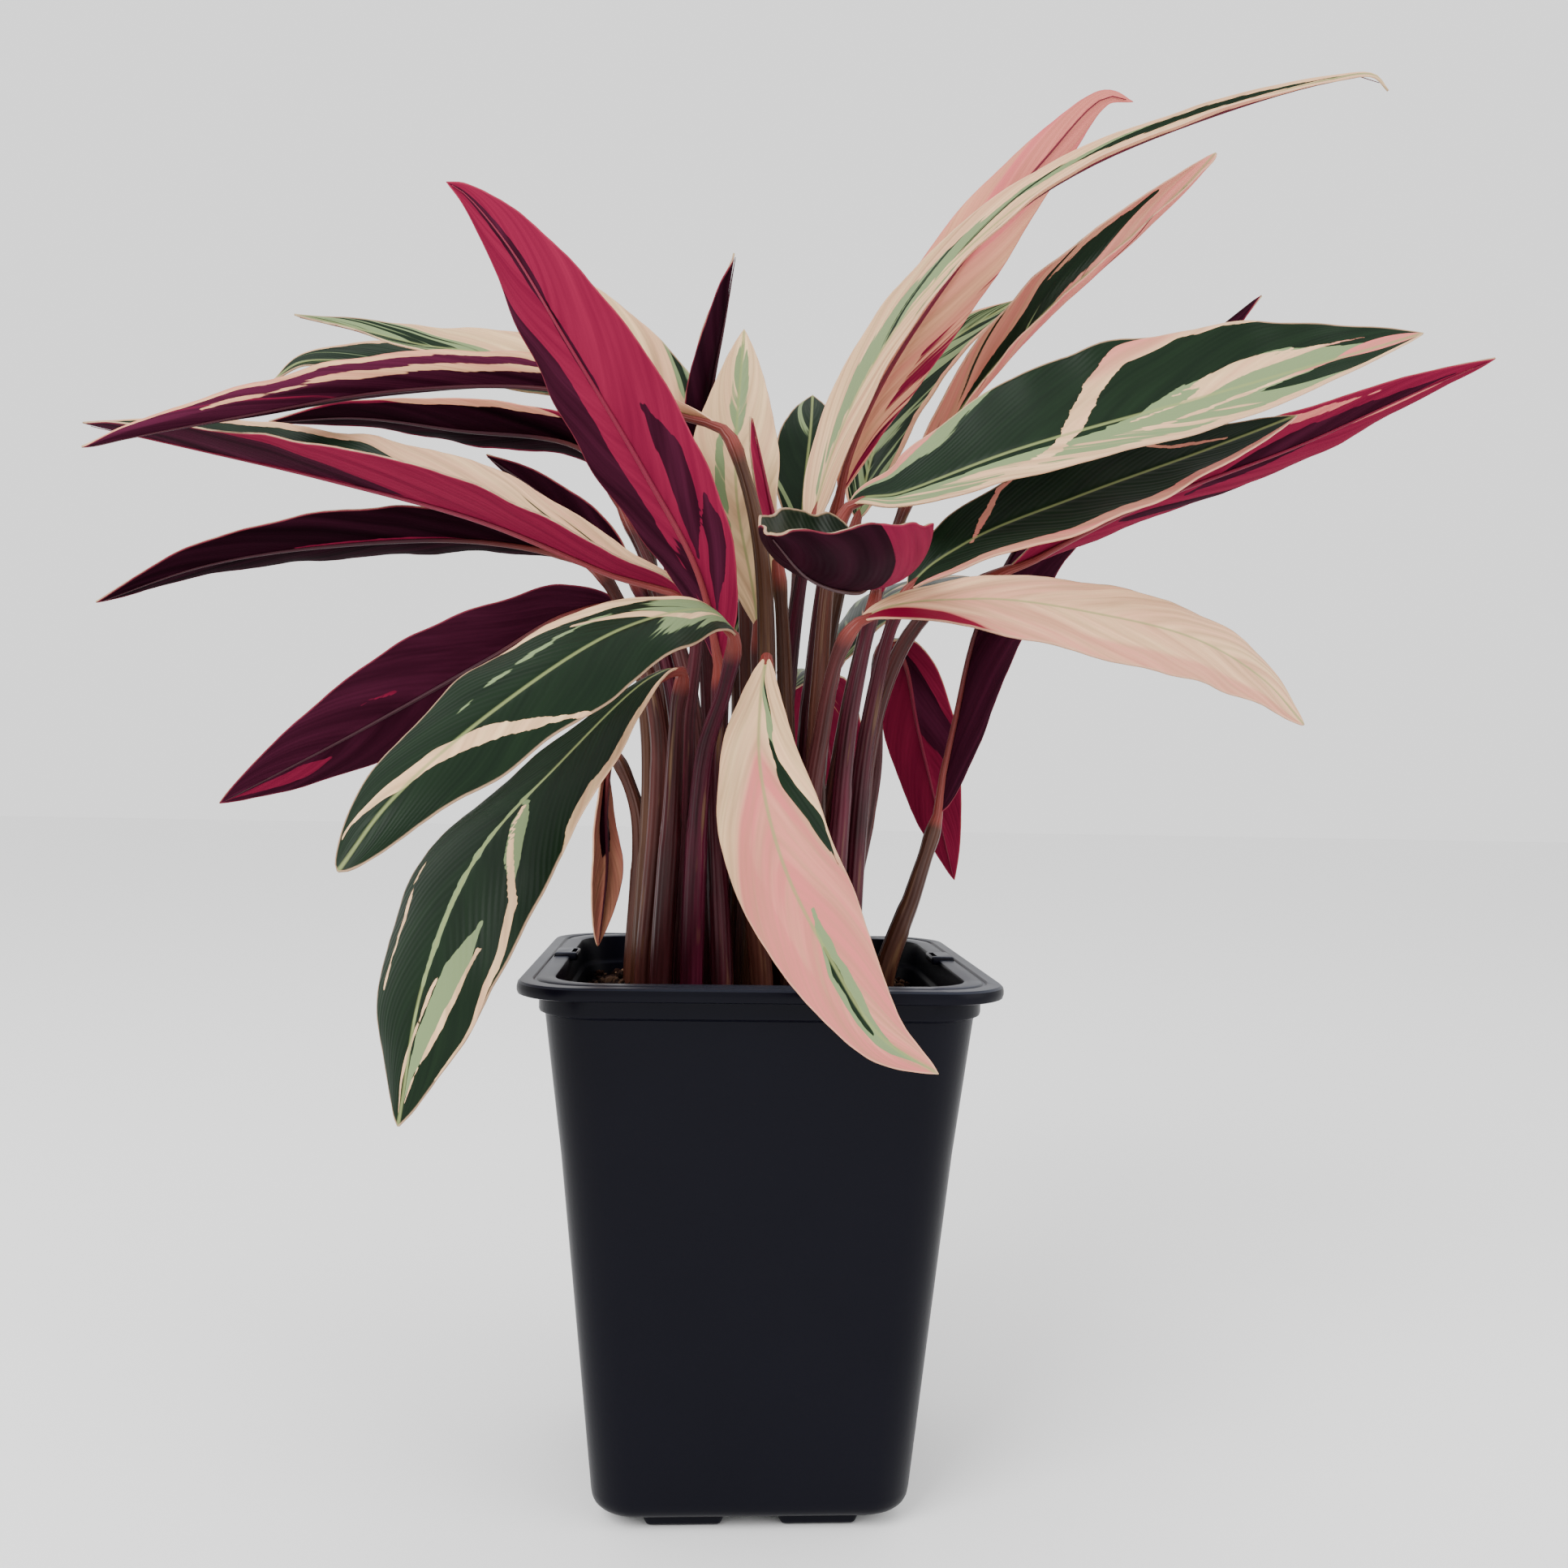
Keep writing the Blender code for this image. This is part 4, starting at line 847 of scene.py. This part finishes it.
# Leaves on the right: broad green blades under tall pink and peach ones, a dark one rolled into a
# funnel and one hanging behind the stalks. They are made as the front leaves are.
right_leaves = [
    dict(name="big_green_right_leaf", slot="leaf_green", root=(20, -12), width=44,
         stem=[(19, -16, 266)],
         blade=[(28, -16, 328), (44, -26, 331), (79, -40, 343), (143, -46, 362), (214, -38, 386)],
         side=((-0.15, -0.5, -0.85), (0.35, -0.4, -0.85)), cup=(0.2, 0.3), lean=-0.35,
         white=-0.1, pale=0.05, blush=0.2, patchy=0.15,
         patches=[("pale", 1, 15, [(0.44, 0.15), (0.6, 0.1), (0.75, -0.1), (0.92, -0.25)]),
                  ("pale", 0.9, 1, -0.3, 0.6, 0.2, 1.3), ("white", 0.5, 1, -0.3, 0.5, 0.3, 0.9),
                  ("white", 1, 2.4, [(0.46, 0.2), (0.6, -0.05), (0.75, -0.3), (0.9, -0.5)]),
                  ("white", 1, 2.4, [(0.5, 0.5), (0.65, 0.3), (0.8, 0.1), (0.93, -0.1)]),
                  ("white", 1, 3, [(0.55, -0.1), (0.66, -0.3), (0.78, -0.45)]),
                  ("white", 1.3, 5, [(0.74, -1), (0.6, -0.98), (0.5, -0.8), (0.44, -0.5), (0.39, -0.06),
                                     (0.34, 0.44), (0.24, 1)]),
                  ("white", 0.9, 1, -0.3, 1, 0.84, 1.3), ("white", 1.1, 0, 0.84, 1, 0, 1.3),
                  ("blush", 1.2, 0, 0.74, 1, 0, 1.3), ("white", 0.9, -1, -0.4, -0.1, 0.75, 1.3),
                  ("pale", 0.8, -1, -0.4, 0, 0.6, 1.3), ("blush", 1, -1, -0.4, 0.3, 0.6, 1.3)]),
    dict(name="dark_green_right_leaf", slot="leaf_green", root=(31, -14), width=36,
         stem=[(36, -14, 253)],
         blade=[(49, -14, 301), (67, -20, 316), (104, -24, 332), (145, -24, 348), (179, -22, 362)],
         side=((0.35, -0.65, -0.65), (0.35, -0.6, -0.7)), cup=(0.3, 0.3), peak=0.42,
         white=-0.1, pale=0.05, blush=0.9, patchy=0.2,
         patches=[("white", 1, 1, -0.3, 1, 0.76, 1.3),
                  ("white", 1.2, 2, [(0.36, -1), (0.29, -0.9), (0.23, -0.38), (0.18, 0.1)]),
                  ("white", 1, 1.8, [(0.62, -0.9), (0.7, -0.5), (0.82, -0.2)])]),
    dict(name="magenta_right_leaf", slot="leaf_magenta", root=(33, 8), width=29,
         stem=[(42, 8, 262), (58, 2, 295)],
         blade=[(85, -2, 310), (132, 2, 335), (189, 0, 358), (226, -14, 375), (246, -25, 383)],
         side=((-0.2, -0.8, 0.55), (-0.55, -0.65, 0.5)), cup=(0.5, 0.6),
         white=-0.1, glow=1, blush=1,
         patches=[("glow", -0.3, 8, [(0.4, -0.3), (0.52, -0.05), (0.66, 0.2), (0.8, 0.15), (0.93, 0.2)]),
                  ("glow", -0.1, -1, 0.15, 0.25, 0.3, 1),
                  ("white", 1, 3.4, [(0.45, 0.75), (0.62, 0.8), (0.8, 0.75)]),
                  ("white", 0.9, 2.6, [(0.72, -0.1), (0.84, -0.2), (0.96, 0)])]),
    dict(name="dark_funnel_leaf", slot="leaf_burgundy", root=(44, -4), width=40,
         stem=[(54, -4, 197)],
         blade=[(63, 2, 224), (70, 6, 255), (80, 14, 294), (104, 26, 336), (140, 38, 377), (174, 48, 410),
                (195, 52, 428)],
         side=((-0.45, 0.9, -0.05), (-0.4, 0.85, 0.3)), cup=(2.3, 1.4), peak=0.42,
         white=-0.2, glow=0, pale=0.3, patchy=0.2),
    dict(name="peach_tall_leaf", slot="leaf_pink", root=(15, 5), width=26,
         stem=[(18, 6, 267)],
         blade=[(27, 8, 336), (40, 10, 373), (67, 6, 417), (96, 2, 455), (117, 0, 477), (127, 0, 476)],
         side=((-0.85, 0.45, 0.3), (0.1, -0.35, 0.95)), cup=(0.4, 0.3),
         white=1.2, glow=0.8, blush=0.5,
         patches=[("blush", 1, 0, 0.5, 1, 0, 1.3), ("white", 0.5, -1, -0.2, 0.3, 0.5, 1.3)]),
    dict(name="rolled_pink_green_leaf", slot="leaf_pink", root=(22, 14), width=26,
         stem=[(34, 18, 268)],
         blade=[(56, 22, 345), (78, 24, 380), (105, 22, 411), (133, 16, 436), (152, 10, 454),
                (160, 8, 463)],
         side=((0.65, -0.7, -0.35), (0.45, -0.7, -0.55)), cup=(1.6, 1.3), peak=0.5, blunt=0.65,
         white=0.7, blush=0.9, glow=0.2, pale=0.2,
         patches=[("white", -0.2, 6, [(0.1, 0.1), (0.4, -0.1), (0.65, -0.5), (0.85, -0.8)]),
                  ("white", 0, 2.4, [(0.5, 0.3), (0.7, 0.2), (0.9, 0.1)])]),
    dict(name="grey_green_back_leaf", slot="leaf_green", root=(10, 18), width=25,
         stem=[(22, 24, 268)],
         blade=[(36, 34, 333), (46, 38, 370), (68, 42, 400), (98, 46, 421)],
         side=((0.9, -0.35, -0.2), (0.55, -0.45, -0.7)), cup=(0.4, 0.5), peak=0.4,
         white=0, pale=0.5, blush=0.6,
         patches=[("white", 0.9, 0, -0.3, 1, 0.85, 1.3)]),
    dict(name="hanging_magenta_leaf", slot="leaf_magenta", root=(30, 22), width=28,
         stem=[(43, 26, 239), (44, 30, 275)],
         blade=[(47, 34, 287), (52, 42, 289), (58, 50, 280), (63, 54, 259), (72, 54, 224), (78, 50, 198)],
         side=((0.9, -0.3, 0), (0.9, -0.4, 0)), cup=(-0.2, 0.2),
         white=-0.1, glow=1,
         patches=[("glow", 0, 1, 0.15, 0.45, 0, 1)]),
]
for number, leaf in enumerate(right_leaves, 21):
    make_leaf(leaf, number)


# Leaves at the back, which the picture hides: six like the others fill the far side of the clump.
# They are made as the front leaves are.
back_leaves = [
    dict(name="back_centre_leaf", slot="leaf_green", root=(-6, 31), width=36,
         stem=[(-6, 40, 235)],
         blade=[(-8, 52, 285), (-12, 80, 325), (-20, 120, 340), (-28, 168, 317)],
         side=((1, 0, 0), (1, 0.1, 0)), cup=(0.3, 0.2),
         white=0.35),
    dict(name="back_left_leaf", slot="leaf_green", root=(-25, 33), width=40,
         stem=[(-30, 42, 235)],
         blade=[(-38, 56, 280), (-62, 84, 300), (-100, 118, 285), (-140, 145, 235)],
         side=((0.75, 0.65, 0), (0.65, 0.75, 0)), cup=(-0.3, -0.3),
         white=0.2),
    dict(name="back_right_leaf", slot="leaf_green", root=(20, 34), width=38,
         stem=[(24, 44, 235)],
         blade=[(32, 60, 280), (54, 86, 312), (86, 116, 324), (118, 140, 316)],
         side=((0.65, -0.75, 0), (0.55, -0.85, 0)), cup=(-0.3, -0.3),
         white=0.3),
    dict(name="back_magenta_leaf", slot="leaf_magenta", root=(8, 38), width=34,
         stem=[(10, 50, 235)],
         blade=[(14, 62, 270), (24, 92, 280), (36, 122, 245), (44, 140, 195)],
         side=((0.95, -0.3, 0), (0.95, -0.3, 0)), cup=(-0.3, -0.3),
         white=0.1, glow=1),
    dict(name="back_tall_leaf", slot="leaf_green", root=(-15, 24), width=28,
         stem=[(-14, 30, 235)],
         blade=[(-12, 40, 295), (-12, 60, 345), (-14, 85, 380), (-18, 110, 393)],
         side=((1, 0, 0), (1, 0.1, 0)), cup=(0.4, 0.3),
         white=0.5),
    dict(name="back_low_leaf", slot="leaf_green", root=(-14, 42), width=32,
         stem=[(-14, 52, 225)],
         blade=[(-15, 64, 256), (-20, 98, 252), (-24, 126, 215), (-26, 138, 165)],
         side=((1, 0, 0), (1, 0, 0)), cup=(-0.3, -0.3),
         white=0.2),
]
for number, leaf in enumerate(back_leaves, 29):
    make_leaf(leaf, number)
